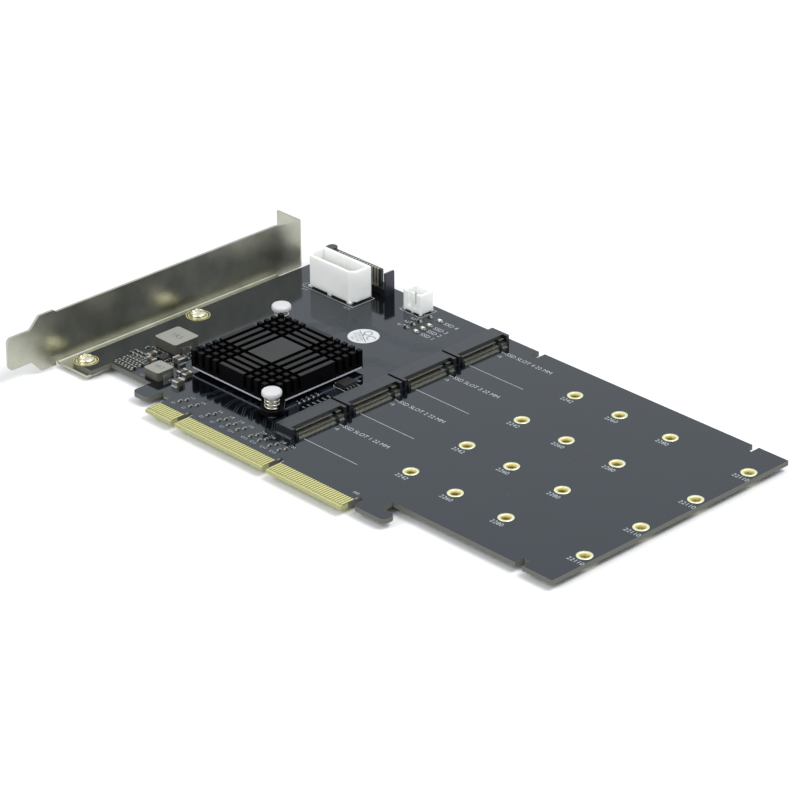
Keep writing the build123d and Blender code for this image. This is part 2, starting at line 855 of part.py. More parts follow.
save("inductor_small", inductor(small_inductor_centre, small_inductor_side, small_inductor_height))
save("inductor_terminals", inductor_terminals())
save("small_chips", leaded_chip_bodies())
save("small_chip_leads", leaded_chip_leads())
save("coupling_capacitors", surface_parts(coupling_parts()))
save("supply_capacitors", surface_parts(supply_capacitor_parts()))
save("small_surface_parts", surface_parts(small_part_rows() + lamp_parts()))
save("status_lamps", status_lamps())
label_x, label_y = label_centre
save("round_label", rod(label_x, label_y, label_radius, (0, label_thickness)))
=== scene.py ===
import bpy
import bmesh
import math
from mathutils import Matrix, Vector


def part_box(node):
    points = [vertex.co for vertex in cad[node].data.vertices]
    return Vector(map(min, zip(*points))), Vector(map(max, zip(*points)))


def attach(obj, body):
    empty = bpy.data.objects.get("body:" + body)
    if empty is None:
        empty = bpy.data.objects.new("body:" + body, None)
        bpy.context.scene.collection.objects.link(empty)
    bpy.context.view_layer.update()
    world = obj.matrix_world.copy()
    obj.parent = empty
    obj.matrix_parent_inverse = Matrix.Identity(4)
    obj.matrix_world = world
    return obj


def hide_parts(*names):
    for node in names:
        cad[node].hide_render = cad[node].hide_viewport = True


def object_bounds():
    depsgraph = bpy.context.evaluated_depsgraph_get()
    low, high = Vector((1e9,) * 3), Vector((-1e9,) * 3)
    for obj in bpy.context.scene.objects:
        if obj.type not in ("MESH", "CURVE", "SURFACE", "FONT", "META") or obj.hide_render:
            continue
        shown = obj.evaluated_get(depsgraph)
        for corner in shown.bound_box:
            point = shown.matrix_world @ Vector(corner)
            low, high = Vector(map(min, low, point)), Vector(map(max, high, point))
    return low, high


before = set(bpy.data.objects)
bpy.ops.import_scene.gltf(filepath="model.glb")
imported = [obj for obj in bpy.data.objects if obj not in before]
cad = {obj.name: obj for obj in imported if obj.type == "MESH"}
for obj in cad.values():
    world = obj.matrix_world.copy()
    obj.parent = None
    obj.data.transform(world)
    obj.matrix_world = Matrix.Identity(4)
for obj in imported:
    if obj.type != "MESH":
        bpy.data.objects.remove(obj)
cad_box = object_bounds()

# Bare board: a laminate of woven glass and epoxy, routed to shape and coated on both faces with a
# near-black solder mask. Its cut edge and the bevel at the finger tips stay bare. Every other piece
# of the card stands on it.

MM = 0.001
BOARD_THICKNESS = 1.57 * MM
BARE_TIP = 1.0 * MM
CLEAN_CUT = 3.0 * MM
# a wave pattern's scale times the distance between its crests
WAVE = 0.314


def linear(code):
    """An sRGB hex colour as linear RGBA."""
    channels = [int(code[i:i + 2], 16) / 255 for i in (1, 3, 5)]
    return [c / 12.92 if c <= 0.04045 else ((c + 0.055) / 1.055) ** 2.4 for c in channels] + [1.0]


def add(tree, kind, values=(), links=(), **properties):
    """Add a node: its properties, its input values, and the nodes or sockets that feed its inputs."""
    made = tree.nodes.new(kind)
    for name, value in properties.items():
        setattr(made, name, value)
    for socket, value in dict(values).items():
        made.inputs[socket].default_value = value
    for socket, source in dict(links).items():
        if isinstance(source, bpy.types.Node):
            source = next(output for output in source.outputs if output.enabled)
        tree.links.new(source, made.inputs[socket])
    return made


def blank_material(name):
    """A new material: returns it, its tree and its place on the object, for patterns."""
    material = bpy.data.materials.new(name)
    material.use_nodes = True
    tree = material.node_tree
    tree.nodes.clear()
    return material, tree, add(tree, "ShaderNodeTexCoord").outputs["Object"]


def finish_cad(node_name, material):
    """Give a CAD node its finish."""
    mesh = cad[node_name].data
    mesh.materials.clear()
    mesh.materials.append(material)


def on_walls(tree):
    """A mask of the faces that stand upright, such as cut edges."""
    facing = add(tree, "ShaderNodeSeparateXYZ", links={0: add(tree, "ShaderNodeTexCoord").outputs["Normal"]})
    steep = add(tree, "ShaderNodeMath", links={0: facing.outputs[2]}, operation="ABSOLUTE")
    return add(tree, "ShaderNodeMath", {1: 0.5}, {0: steep}, operation="LESS_THAN")


# solder mask: a black, glassy coat that mirrors a pale surround as a bluish dark grey
solder_mask, tree, spot = blank_material("glossy_solder_mask_on_laminate")
place = add(tree, "ShaderNodeSeparateXYZ", links={0: spot})
on_edge = on_walls(tree)
on_bevel = add(tree, "ShaderNodeMath", {1: BARE_TIP}, {0: place.outputs[1]}, operation="LESS_THAN")
bare = add(tree, "ShaderNodeMath", links={0: on_edge, 1: on_bevel}, operation="MAXIMUM")
# copper areas under the mask, about 14 mm across, shift its tone slowly
clouds = add(tree, "ShaderNodeTexNoise", {"Scale": 1 / (14 * MM), "Detail": 2.0}, {"Vector": spot})
mask_tone = add(tree, "ShaderNodeMix", {6: linear("#040507"), 7: linear("#080b10")}, {0: clouds},
                data_type="RGBA")
# the laminate's glass layers are 0.2 mm apart on the cut edge
layers = add(tree, "ShaderNodeTexWave", {"Scale": WAVE / (0.4 * MM), "Distortion": 1.5, "Detail": 2.0},
             {"Vector": spot}, bands_direction="Z")
edge_tone = add(tree, "ShaderNodeMix", {6: linear("#3f3d36"), 7: linear("#6f6c60")}, {0: layers.outputs[1]},
                data_type="RGBA")
# where the tongue was cut and bevelled for insertion, the clean resin shows yellow green
bevel_tone = add(tree, "ShaderNodeMix", {6: linear("#84824f"), 7: linear("#b0ae7a")}, {0: layers.outputs[1]},
                 data_type="RGBA")
at_tip = add(tree, "ShaderNodeMath", {1: CLEAN_CUT}, {0: place.outputs[1]}, operation="LESS_THAN")
edge_tone = add(tree, "ShaderNodeMix", links={0: at_tip, 6: edge_tone, 7: bevel_tone}, data_type="RGBA")
tone = add(tree, "ShaderNodeMix", links={0: bare, 6: mask_tone, 7: edge_tone}, data_type="RGBA")
# the mask levels out over the weave, 0.9 mm between threads, and leaves only a faint ripple
warp = add(tree, "ShaderNodeTexWave", {"Scale": WAVE / (0.9 * MM), "Distortion": 0.8},
           {"Vector": spot}, bands_direction="X")
weft = add(tree, "ShaderNodeTexWave", {"Scale": WAVE / (0.9 * MM), "Distortion": 0.8},
           {"Vector": spot}, bands_direction="Y")
weave = add(tree, "ShaderNodeMath", links={0: warp.outputs[1], 1: weft.outputs[1]}, operation="MULTIPLY")
ripple = add(tree, "ShaderNodeBump", {"Strength": 0.05, "Distance": 0.02 * MM}, {"Height": weave})
smears = add(tree, "ShaderNodeTexNoise", {"Scale": 1 / (25 * MM), "Detail": 4.0}, {"Vector": spot})
gloss = add(tree, "ShaderNodeMapRange", {3: 0.04, 4: 0.12}, {0: smears})
dull = add(tree, "ShaderNodeMix", {3: 0.65}, {0: bare, 2: gloss})
shader = add(tree, "ShaderNodeBsdfPrincipled", {"IOR": 1.53, "Specular Tint": (0.77, 0.94, 1.17, 1.0)},
             {"Base Color": tone, "Roughness": dull, "Normal": ripple})
add(tree, "ShaderNodeOutputMaterial", links={0: shader})
finish_cad("circuit_board", solder_mask)

# Copper tracks: matched pairs, etched from the foil, that run under the mask from the chip to the
# sockets and from the fingers to the chip. They raise the mask a little. Their routes, pitch and
# lanes are in millimetres.

TRACK_WIDTH = 0.22 * MM
TRACK_HEIGHT = 0.03 * MM
TRACK_PITCH = 0.55
LANES = (-8.0, -3.3, 4.6, 9.5, 13.6, 17.7, 23.4, 27.2, 31.7, 35.7)
LANE_HALF = 0.45


def new_object(name, data):
    """An object in the scene that holds the given data."""
    obj = bpy.data.objects.new(name, data)
    bpy.context.scene.collection.objects.link(obj)
    return obj


def keep(mesh, name, material):
    """Put a new mesh in the scene as a piece of the card."""
    mesh.materials.append(material)
    obj = new_object(name, mesh)
    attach(obj, "root")
    return obj


def strips(name, paths, width, low, high, material):
    """Flat raised strips of one width that follow paths over the board, as one piece."""
    vertices = []
    faces = []
    for path in paths:
        line = [Vector(point) for point in path]
        start = len(vertices)
        for i, point in enumerate(line):
            before = (point - line[i - 1]).normalized() if i else (line[1] - point).normalized()
            after = (line[i + 1] - point).normalized() if i + 1 < len(line) else before
            along = (before + after).normalized()
            side = Vector((-along.y, along.x)) * width / 2 / max(0.5, along.dot(before))
            for offset, height in ((side, low), (-side, low), (-side, high), (side, high)):
                vertices.append((point.x + offset.x, point.y + offset.y, height))
        for i in range(len(line) - 1):
            a = start + 4 * i
            faces += [(a + k, a + 4 + k, a + 4 + (k + 1) % 4, a + (k + 1) % 4) for k in range(4)]
        last = start + 4 * (len(line) - 1)
        faces += [(start, start + 1, start + 2, start + 3), (last + 3, last + 2, last + 1, last)]
    mesh = bpy.data.meshes.new(name)
    mesh.from_pydata(vertices, [], faces)
    return keep(mesh, name, material)


def soft_skin(tree, edge, strength, depth, height):
    """Normals of a skin with a fine relief and edges rounded off, with sizes in millimetres."""
    rounded = add(tree, "ShaderNodeBevel", {"Radius": edge * MM}, samples=4)
    return add(tree, "ShaderNodeBump", {"Strength": strength, "Distance": depth * MM},
               {"Normal": rounded, "Height": height})


def mottled(name, patch, finish, tones=None, detail=2.0, gloss=None, skin=None):
    """A material whose tones, gloss or skin vary in patches of a size in millimetres."""
    material, tree, spot = blank_material(name)
    sizes = {"Scale": 1 / (patch * MM), "Detail": detail}
    patches = add(tree, "ShaderNodeTexNoise", sizes, {"Vector": spot})
    links = {}
    if tones:
        ends = {6: linear(tones[0]), 7: linear(tones[1])}
        links["Base Color"] = add(tree, "ShaderNodeMix", ends, {0: patches}, data_type="RGBA")
    if gloss:
        links["Roughness"] = add(tree, "ShaderNodeMapRange", {3: gloss[0], 4: gloss[1]}, {0: patches})
    if skin:
        links["Normal"] = soft_skin(tree, *skin, patches)
    shader = add(tree, "ShaderNodeBsdfPrincipled", finish, links)
    add(tree, "ShaderNodeOutputMaterial", links={0: shader})
    return material


# solder mask over copper: a shade lighter and duller, so tracks read as faint parallel lines
tracked_mask = mottled("solder_mask_over_copper", 6, {"IOR": 1.53, "Specular Tint": (0.77, 0.94, 1.17, 1.0)},
                       ("#1a2026", "#2a3239"), gloss=(0.20, 0.32))

tracks = []
for k in range(8):
    shift = k * TRACK_PITCH
    tracks.append([(-13.2 + shift, 64.0), (-13.2 + shift, 84.6 - shift), (-11.6 + shift, 86.2 - shift),
                   (12.0 + shift, 86.2 - shift), (16.6 + shift, 90.8 - shift), (25.8, 90.8 - shift)])
    tracks.append([(12.4 - shift, 64.0), (12.4 - shift, 65.0 + shift), (15.6 - shift, 68.2 + shift),
                   (25.8, 68.2 + shift)])
    tracks.append([(15.4, 44.6 + shift), (25.8, 44.6 + shift)])
    tracks.append([(15.4, 31.0 + shift), (17.2, 31.0 + shift), (21.8, 26.4 + shift), (25.8, 26.4 + shift)])
    tracks.append([(-27.0, 68.9 + shift), (-19.0 - 0.6 * shift, 68.9 + shift),
                   (-15.0 - shift, 72.9 + 0.6 * shift), (-15.0 - shift, 82.0)])
for x in LANES:
    for side in (-LANE_HALF, LANE_HALF):
        lean = max(-6.0, min(6.0, (-1.0 - x) * 0.35))
        tracks.append([(x + side, 5.8), (x + side, 15.0), (x + side + lean, 21.0), (x + side + lean, 26.0)])
tracks = [[(x * MM, y * MM) for x, y in path] for path in tracks]
strips("copper_tracks", tracks, TRACK_WIDTH, 0.0, TRACK_HEIGHT, tracked_mask)
back_tracks = []
for k in range(12):
    shift = k * TRACK_PITCH
    back_tracks.append([(-20.0 + shift, 30.0), (-20.0 + shift, 58.0 - 0.6 * shift),
                        (-8.0 + 0.6 * shift, 70.0 - shift), (24.0, 70.0 - shift)])
    back_tracks.append([(-44.0 + shift, 20.0), (-44.0 + shift, 84.0), (-38.0 + shift, 90.0)])
back_tracks = [[(x * MM, y * MM) for x, y in path] for path in back_tracks]
strips("copper_tracks_on_back", back_tracks, TRACK_WIDTH, -BOARD_THICKNESS - TRACK_HEIGHT, -BOARD_THICKNESS,
       tracked_mask)

# Edge connector fingers: copper pads at the card's edge, on both faces, plated with nickel and
# then hard gold. They slide into the slot's springs.

# hard gold: pale and slightly green, with the fine lengthwise strokes that insertion leaves
edge_gold, tree, spot = blank_material("hard_gold_plating")
wide = add(tree, "ShaderNodeMapping", {"Scale": (1 / (0.05 * MM), 1 / (6 * MM), 1.0)}, {"Vector": spot})
strokes = add(tree, "ShaderNodeTexNoise", {"Scale": 1.0, "Detail": 3.0}, {"Vector": wide})
sheen = add(tree, "ShaderNodeMapRange", {3: 0.30, 4: 0.50}, {0: strokes})
tone = add(tree, "ShaderNodeMix", {6: linear("#d5d287"), 7: linear("#e9e6a4")}, {0: strokes},
           data_type="RGBA")
shader = add(tree, "ShaderNodeBsdfPrincipled", {"Metallic": 1.0}, {"Base Color": tone, "Roughness": sheen})
add(tree, "ShaderNodeOutputMaterial", links={0: shader})
finish_cad("edge_contacts", edge_gold)

# Module fixing holes: copper rings and barrels, gold plated, at four distances from every socket.
# Each is a flat ring on both faces joined by a thin sleeve through the hole.

MODULE_EDGE_X = 29.18 * MM
MODULE_LENGTHS = [42 * MM, 60 * MM, 80 * MM, 110 * MM]
SITE_ROWS = [(28.44 + 22.65 * site) * MM for site in range(4)]
HOLE_RADIUS = 1.6 * MM
PLATING = 0.04 * MM

# thin gold on a flat ring: pale and satin, and nearly white where it faces the light
ring_gold = mottled("pale_gold_ring", 1.2, {"Metallic": 0.85}, ("#dfe0b0", "#f0f0cf"), 3.0, (0.35, 0.55))

# gold in the bore: deeper, since light bounces inside it, with the drill's fine rings
barrel_gold, tree, spot = blank_material("gold_plated_barrel")
drilled = add(tree, "ShaderNodeMapping", {"Scale": (1 / (0.8 * MM), 1 / (0.8 * MM), 1 / (0.1 * MM))},
              {"Vector": spot})
rings = add(tree, "ShaderNodeTexNoise", {"Scale": 1.0, "Detail": 3.0}, {"Vector": drilled})
tone = add(tree, "ShaderNodeMix", {6: linear("#b9a957"), 7: linear("#ded08c")}, {0: rings}, data_type="RGBA")
shader = add(tree, "ShaderNodeBsdfPrincipled", {"Metallic": 0.15, "Roughness": 0.5}, {"Base Color": tone})
add(tree, "ShaderNodeOutputMaterial", links={0: shader})


def new_tree(name, sizes):
    """A geometry tree whose named inputs are the given sizes; returns it with its input node."""
    tree = bpy.data.node_groups.new(name, "GeometryNodeTree")
    tree.interface.new_socket(name="Geometry", in_out="INPUT", socket_type="NodeSocketGeometry")
    for size, value in sizes.items():
        kind = "NodeSocketInt" if isinstance(value, int) else "NodeSocketFloat"
        tree.interface.new_socket(name=size, in_out="INPUT", socket_type=kind)
    tree.interface.new_socket(name="Geometry", in_out="OUTPUT", socket_type="NodeSocketGeometry")
    return tree, add(tree, "NodeGroupInput")


def close_tree(tree, geometry, material):
    """End a tree in real, finished geometry."""
    real = add(tree, "GeometryNodeRealizeInstances", links={0: geometry})
    coated = add(tree, "GeometryNodeSetMaterial", {"Material": material}, {"Geometry": real})
    add(tree, "NodeGroupOutput", links={0: coated})


def points_object(name, points, **attributes):
    """An object of loose points, with vector attributes for each point."""
    mesh = bpy.data.meshes.new(name)
    mesh.from_pydata([tuple(p) for p in points], [], [])
    for key, values in attributes.items():
        stored = mesh.attributes.new(key, "FLOAT_VECTOR", "POINT")
        for item, value in zip(stored.data, values):
            item.vector = value
    return new_object(name, mesh)


def settled(obj):
    """A plain mesh of what an object's modifiers or letters come to."""
    bpy.context.view_layer.update()
    return bpy.data.meshes.new_from_object(obj.evaluated_get(bpy.context.evaluated_depsgraph_get()))


def grow(obj, tree, sizes):
    """Run a tree on an object, keep the result as a plain mesh and fix it to the card."""
    modifier = obj.modifiers.new("layout", "NODES")
    modifier.node_group = tree
    for item in tree.interface.items_tree:
        if item.in_out == "INPUT" and item.name in sizes:
            modifier[item.identifier] = sizes[item.name]
    mesh = settled(obj)
    obj.modifiers.clear()
    obj.data = mesh
    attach(obj, "root")
    return obj


sizes = {"Hole radius": HOLE_RADIUS - PLATING, "Ring radius": 2.42 * MM, "Plating": PLATING,
         "Board": BOARD_THICKNESS, "Segments": 48}
tree, inputs = new_tree("hole_rings", sizes)
inner = inputs.outputs["Hole radius"]
outer = inputs.outputs["Ring radius"]
middle = add(tree, "ShaderNodeMath", links={0: inner, 1: outer}, operation="ADD")
middle = add(tree, "ShaderNodeMath", {1: 0.5}, {0: middle}, operation="MULTIPLY")
width = add(tree, "ShaderNodeMath", links={0: outer, 1: inner}, operation="SUBTRACT")
ring_path = add(tree, "GeometryNodeCurvePrimitiveCircle",
                links={"Resolution": inputs.outputs["Segments"], "Radius": middle})
ring_section = add(tree, "GeometryNodeCurvePrimitiveQuadrilateral",
                   links={"Width": width, "Height": inputs.outputs["Plating"]})
ring = add(tree, "GeometryNodeCurveToMesh", links={0: ring_path, 1: ring_section})
half_plating = add(tree, "ShaderNodeMath", {1: 0.5}, {0: inputs.outputs["Plating"]}, operation="MULTIPLY")
upper_place = add(tree, "ShaderNodeCombineXYZ", links={2: half_plating})
upper = add(tree, "GeometryNodeTransform", links={0: ring, "Translation": upper_place})
depth = add(tree, "ShaderNodeMath", links={0: inputs.outputs["Board"], 1: half_plating}, operation="ADD")
depth = add(tree, "ShaderNodeMath", {1: -1.0}, {0: depth}, operation="MULTIPLY")
lower_place = add(tree, "ShaderNodeCombineXYZ", links={2: depth})
lower = add(tree, "GeometryNodeTransform", links={0: ring, "Translation": lower_place})
whole = add(tree, "GeometryNodeJoinGeometry", links={0: upper})
tree.links.new(lower.outputs[0], whole.inputs[0])
spread = add(tree, "GeometryNodeInstanceOnPoints", links={"Points": inputs.outputs[0], "Instance": whole})
close_tree(tree, spread, ring_gold)
hole_places = [(MODULE_EDGE_X + length, y, 0) for y in SITE_ROWS for length in MODULE_LENGTHS]
grow(points_object("module_hole_rings", hole_places), tree, sizes)

tree, inputs = new_tree("hole_barrels", sizes)
half_plating = add(tree, "ShaderNodeMath", {1: 0.5}, {0: inputs.outputs["Plating"]}, operation="MULTIPLY")
radius = add(tree, "ShaderNodeMath", links={0: inputs.outputs["Hole radius"], 1: half_plating},
             operation="ADD")
sleeve_path = add(tree, "GeometryNodeCurvePrimitiveCircle",
                  links={"Resolution": inputs.outputs["Segments"], "Radius": radius})
sleeve_section = add(tree, "GeometryNodeCurvePrimitiveQuadrilateral",
                     links={"Width": inputs.outputs["Plating"], "Height": inputs.outputs["Board"]})
sleeve = add(tree, "GeometryNodeCurveToMesh", links={0: sleeve_path, 1: sleeve_section})
drop = add(tree, "ShaderNodeMath", {1: -0.5}, {0: inputs.outputs["Board"]}, operation="MULTIPLY")
drop = add(tree, "ShaderNodeCombineXYZ", links={2: drop})
sleeve = add(tree, "GeometryNodeTransform", links={0: sleeve, "Translation": drop})
spread = add(tree, "GeometryNodeInstanceOnPoints", links={"Points": inputs.outputs[0], "Instance": sleeve})
close_tree(tree, spread, barrel_gold)
grow(points_object("module_hole_barrels", hole_places), tree, sizes)

# Vias: small drilled and plated holes that join the copper layers. The mask closes them and
# leaves a low dome on both faces, beside the tracks and along the board's edges.

sizes = {"Radius": 0.28 * MM, "Height": 0.05 * MM}
tree, inputs = new_tree("tented_via", sizes)
radius = inputs.outputs["Radius"]
dome = add(tree, "GeometryNodeMeshUVSphere", {"Segments": 12, "Rings": 6}, {"Radius": radius})
flat = add(tree, "ShaderNodeMath", links={0: inputs.outputs["Height"], 1: radius}, operation="DIVIDE")
squash = add(tree, "ShaderNodeCombineXYZ", {0: 1.0, 1: 1.0}, {2: flat})
dome = add(tree, "GeometryNodeTransform", links={0: dome, "Scale": squash})
dome = add(tree, "GeometryNodeSetShadeSmooth", links={0: dome})
spread = add(tree, "GeometryNodeInstanceOnPoints", links={"Points": inputs.outputs[0], "Instance": dome})
close_tree(tree, spread, tracked_mask)
vias = [(path[-1][0] - 0.9 * MM * (k % 2), path[-1][1]) for k, path in enumerate(tracks)]
vias += [((-50 + 4.5 * i) * MM, (107.6 - 0.4 * (i % 3)) * MM) for i in range(42) if not 2 < i < 9]
vias += [((38 + 6.5 * i) * MM, (13.9 + 0.5 * (i % 2)) * MM) for i in range(14)]
vias += [((139.6 - 0.6 * (i % 2)) * MM, (17 + 7.2 * i) * MM) for i in range(13)]
vias += [((96.5 + 2.2 * (i % 3)) * MM, (20 + 9 * (i // 3)) * MM) for i in range(27)]
both_faces = [(x, y, 0.0) for x, y in vias] + [(x, y, -BOARD_THICKNESS) for x, y in vias]
grow(points_object("vias", both_faces), tree, sizes)

# Printed legend: pale grey epoxy ink, screen printed on the mask. It numbers the drive sites, the
# module lengths at the holes and the lamps, and outlines the parts. Places are in millimetres.

INK = 0.006 * MM
TYPE_PER_CAPITAL = 1.4
STROKE_TRIM = -0.012
SLOT_WORDS_Y = (34.0, 56.5, 79.2, 101.7)
SLOT_LINES_Y = (20.4, 43.0, 65.5, 88.2)


def lettering(name, entries, material, low):
    """Words and numbers as thin solid letters: text, x, y, height, turn in degrees, alignment."""
    joined = bmesh.new()
    weld = 0.0005 * MM
    for text, x, y, height, turn, align in entries:
        size = height * MM * TYPE_PER_CAPITAL
        curve = bpy.data.curves.new("word", "FONT")
        curve.body = text
        curve.align_x = align
        curve.align_y = "CENTER"
        curve.resolution_u = 3
        curve.offset = STROKE_TRIM
        curve.extrude = INK / size
        word = new_object("word", curve)
        mesh = settled(word)
        bpy.data.objects.remove(word)
        place = Matrix.Translation((x * MM, y * MM, low + INK))
        mesh.transform(place @ Matrix.Rotation(math.radians(turn), 4, "Z") @ Matrix.Scale(size, 4))
        joined.from_mesh(mesh)
    bmesh.ops.remove_doubles(joined, verts=joined.verts, dist=weld)
    bmesh.ops.dissolve_degenerate(joined, edges=joined.edges, dist=weld)
    bmesh.ops.recalc_face_normals(joined, faces=joined.faces)
    mesh = bpy.data.meshes.new(name)
    joined.to_mesh(mesh)
    joined.free()
    return keep(mesh, name, material)


# legend ink: matt and pale grey, a thin coat through which the black mask dulls the print
ink = mottled("grey_legend_ink", 0.8, {"Roughness": 0.55}, ("#9aa3aa", "#cdd3d8"), 4.0)

words = []
for site, y in enumerate(SLOT_WORDS_Y):
    words.append((f"SSD SLOT {site + 1} 22 MM", 37.4, y, 1.65, 0, "LEFT"))
for row in SITE_ROWS:
    for length, code in zip(MODULE_LENGTHS, ("2242", "2260", "2280", "22110")):
        words.append((code, (MODULE_EDGE_X + length) / MM + 0.3, row / MM - 4.0, 1.7, 0, "CENTER"))
for lamp, y in enumerate((93.0, 95.9, 98.8, 103.3)):
    words.append((f"SSD {lamp + 1}", 8.9, y, 1.7, 0, "LEFT"))
    words.append((f"R{lamp + 1}", 0.6, y, 1.2, 0, "RIGHT"))
words += [("FAN", -8.4, 101.0, 1.2, 90, "LEFT"), ("12 V", -20.6, 89.4, 1.1, 0, "CENTER"),
          ("5 V", -40.0, 89.4, 1.1, 0, "CENTER"), ("L1", -37.4, 41.0, 1.2, 0, "CENTER"),
          ("L2", -29.8, 13.8, 1.0, 0, "CENTER"), ("U2", 18.8, 57.2, 1.0, 0, "CENTER"),
          ("U3", -33.4, 22.4, 0.9, 0, "CENTER"), ("1", -43.4, 92.2, 1.1, 0, "CENTER"),
          ("A1", -12.8, 8.6, 1.0, 0, "CENTER"), ("A82", 69.6, 8.6, 1.0, 0, "CENTER")]
for k, x in enumerate(LANES):
    words.append((f"C{2 * k + 1}", x - 1.1, 8.4, 1.05, 0, "CENTER"))
    words.append((f"C{2 * k + 2}", x + 0.6, 14.5, 1.05, 0, "CENTER"))
for k in range(6):
    words.append((f"C{k + 31}", -42.0 + 1.45 * k, 20.2, 0.7, 90, "CENTER"))
    words.append((f"R{k + 11}", 20.4, 33.8 + 2.0 * k, 0.7, 0, "CENTER"))
lettering("printed_words", words, ink, 0.0)

ruled = [[(35.0, y), (57.5, y)] for y in SLOT_LINES_Y]
ruled += [[(35.4, y), (37.4, y)] for y in SLOT_WORDS_Y]
ruled += [[(36.4, y - 2.9), (37.6, y - 2.2), (37.6, y - 3.4)] for y in SLOT_WORDS_Y]


def frame_round(x0, y0, x1, y1):
    """A rectangle's outline as a path."""
    return [(x0, y0), (x1, y0), (x1, y1), (x0, y1), (x0, y0)]


ruled += [frame_round(-42.6, 90.9, -19.4, 100.4), frame_round(-8.1, 100.7, 1.0, 107.7),
          frame_round(15.9, 49.6, 21.8, 55.4)]
ruled += [[(x, 5.9), (x, 7.1)] for x in (-12.3, -0.9, 0.9, 39.2, 41.0, 71.9)]
ruled = [[(x * MM, y * MM) for x, y in path] for path in ruled]
strips("printed_lines", ruled, 0.16 * MM, 0.0, 2 * INK, ink)

# Slot bracket: one piece of sheet steel, punched, bent and zinc plated. Its flange lies against
# the board's back, and its foot and slotted tab fix the card in the case.

# clear-passivated zinc: a cloudy, warm satin grey with the sheet's faint rolling lines
zinc, tree, spot = blank_material("zinc_plated_sheet_steel")
bloom = add(tree, "ShaderNodeTexNoise", {"Scale": 1 / (9 * MM), "Detail": 5.0, "Roughness": 0.65},
            {"Vector": spot})
rolled = add(tree, "ShaderNodeMapping", {"Scale": (1 / (4 * MM), 1 / (18 * MM), 1 / (0.12 * MM))},
             {"Vector": spot})
lines = add(tree, "ShaderNodeTexNoise", {"Scale": 1.0, "Detail": 2.0}, {"Vector": rolled})
tone = add(tree, "ShaderNodeMix", {6: linear("#919183"), 7: linear("#cbcbbe")}, {0: bloom}, data_type="RGBA")
sheen = add(tree, "ShaderNodeMapRange", {3: 0.22, 4: 0.42}, {0: bloom})
grain = soft_skin(tree, 0.15, 0.10, 0.02, lines)
shader = add(tree, "ShaderNodeBsdfPrincipled", {"Metallic": 1.0},
             {"Base Color": tone, "Roughness": sheen, "Normal": grain})
add(tree, "ShaderNodeOutputMaterial", links={0: shader})
finish_cad("slot_bracket", zinc)

# Bracket screws: nickel-plated steel pan heads with a cross recess, driven through gold-plated
# pads of the board into the threaded bracket flange.

# bright nickel: a hard, slightly warm mirror with small rubbed patches
nickel = mottled("nickel_plated_steel", 0.6, {"Metallic": 1.0, "Base Color": linear("#bdb9a8")},
                 detail=3.0, gloss=(0.14, 0.30))
finish_cad("bracket_screws", nickel)

# nickel on the heads: yellower and softer, since the driver and fingers have worn it
warm_nickel = mottled("worn_nickel_plating", 0.5, {"Metallic": 1.0}, ("#c4bfa0", "#e6e3d2"), 4.0,
                      (0.18, 0.36))


def lathe(name, profile, places, material, segments=48, relief=None):
    """Turned solids: a profile of radius and height spun round each place, cut by a relief."""
    vertices = []
    faces = []
    for x, y in places:
        rings = []
        for radius, height in profile:
            start = len(vertices)
            count = segments if radius else 1
            for k in range(count):
                u = radius * math.cos(math.tau * k / count)
                v = radius * math.sin(math.tau * k / count)
                vertices.append((x + u, y + v, height - (relief(u, v, height) if relief else 0)))
            rings.append([start + k for k in range(count)] * (segments // count))
        if profile[0] == profile[-1]:
            rings[-1] = rings[0]
        for lower, upper in zip(rings, rings[1:]):
            for k in range(segments):
                n = (k + 1) % segments
                around = (lower[k], lower[n], upper[n], upper[k])
                faces.append([v for i, v in enumerate(around) if v != around[i - 1]])
    mesh = bpy.data.meshes.new(name)
    mesh.from_pydata(vertices, [], faces)
    solid = bmesh.new()
    solid.from_mesh(mesh)
    bmesh.ops.delete(solid, geom=[v for v in solid.verts if not v.link_faces], context="VERTS")
    solid.to_mesh(mesh)
    solid.free()
    mesh.shade_smooth()
    mesh.set_sharp_from_angle(angle=math.radians(32))
    return keep(mesh, name, material)


def cross_recess(u, v, height):
    """Depth of the driver's cross at a point of the head."""
    arm, half_width, slope, depth = 1.5 * MM, 0.5 * MM, 0.14 * MM, 0.9 * MM
    turned = (u * 0.9 - v * 0.43, u * 0.43 + v * 0.9)
    across, along = sorted(abs(c) for c in turned)
    if height < 1.0 * MM or along > arm:
        return 0.0
    wall = max(0.0, min(1.0, (half_width - across) / slope))
    return depth * wall * (1 - 0.7 * along / arm)


SCREWS = [(-49.3 * MM, 8.0 * MM), (-49.3 * MM, 53.0 * MM)]
profile = [(0, -3.6 * MM), (1.1 * MM, -3.6 * MM), (1.2 * MM, -3.5 * MM)]
for k in range(7):
    profile += [(1.2 * MM, (-3.45 + 0.5 * k) * MM), (1.45 * MM, (-3.25 + 0.5 * k) * MM)]
profile += [(1.4 * MM, 0), (2.58 * MM, 0), (2.7 * MM, 0.12 * MM), (2.7 * MM, 0.8 * MM)]
for k in range(1, 19):
    share = 1 - k / 18
    profile.append((2.68 * MM * share, (1.7 - 0.75 * share ** 2.6) * MM))
profile[-1] = (0, 1.7 * MM)
heads = lathe("screws_with_cross_recess", profile, SCREWS, warm_nickel, 64, cross_recess)
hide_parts("bracket_screws")
for name, inside, outside, metal in (("screw_pads", 2.74 * MM, 3.2 * MM, ring_gold),
                                     ("screw_pad_rims", 3.6 * MM, 3.85 * MM, barrel_gold)):
    pad = [(inside, 0), (outside, 0), (outside, 0.05 * MM), (inside, 0.05 * MM), (inside, 0)]
    lathe(name, pad, SCREWS, metal)

# Chips: the switch chip under the heat sink and the small ones by the inductors and sockets, moulded
# in epoxy. A soft silicone pad carries the switch chip's heat up to the sink.

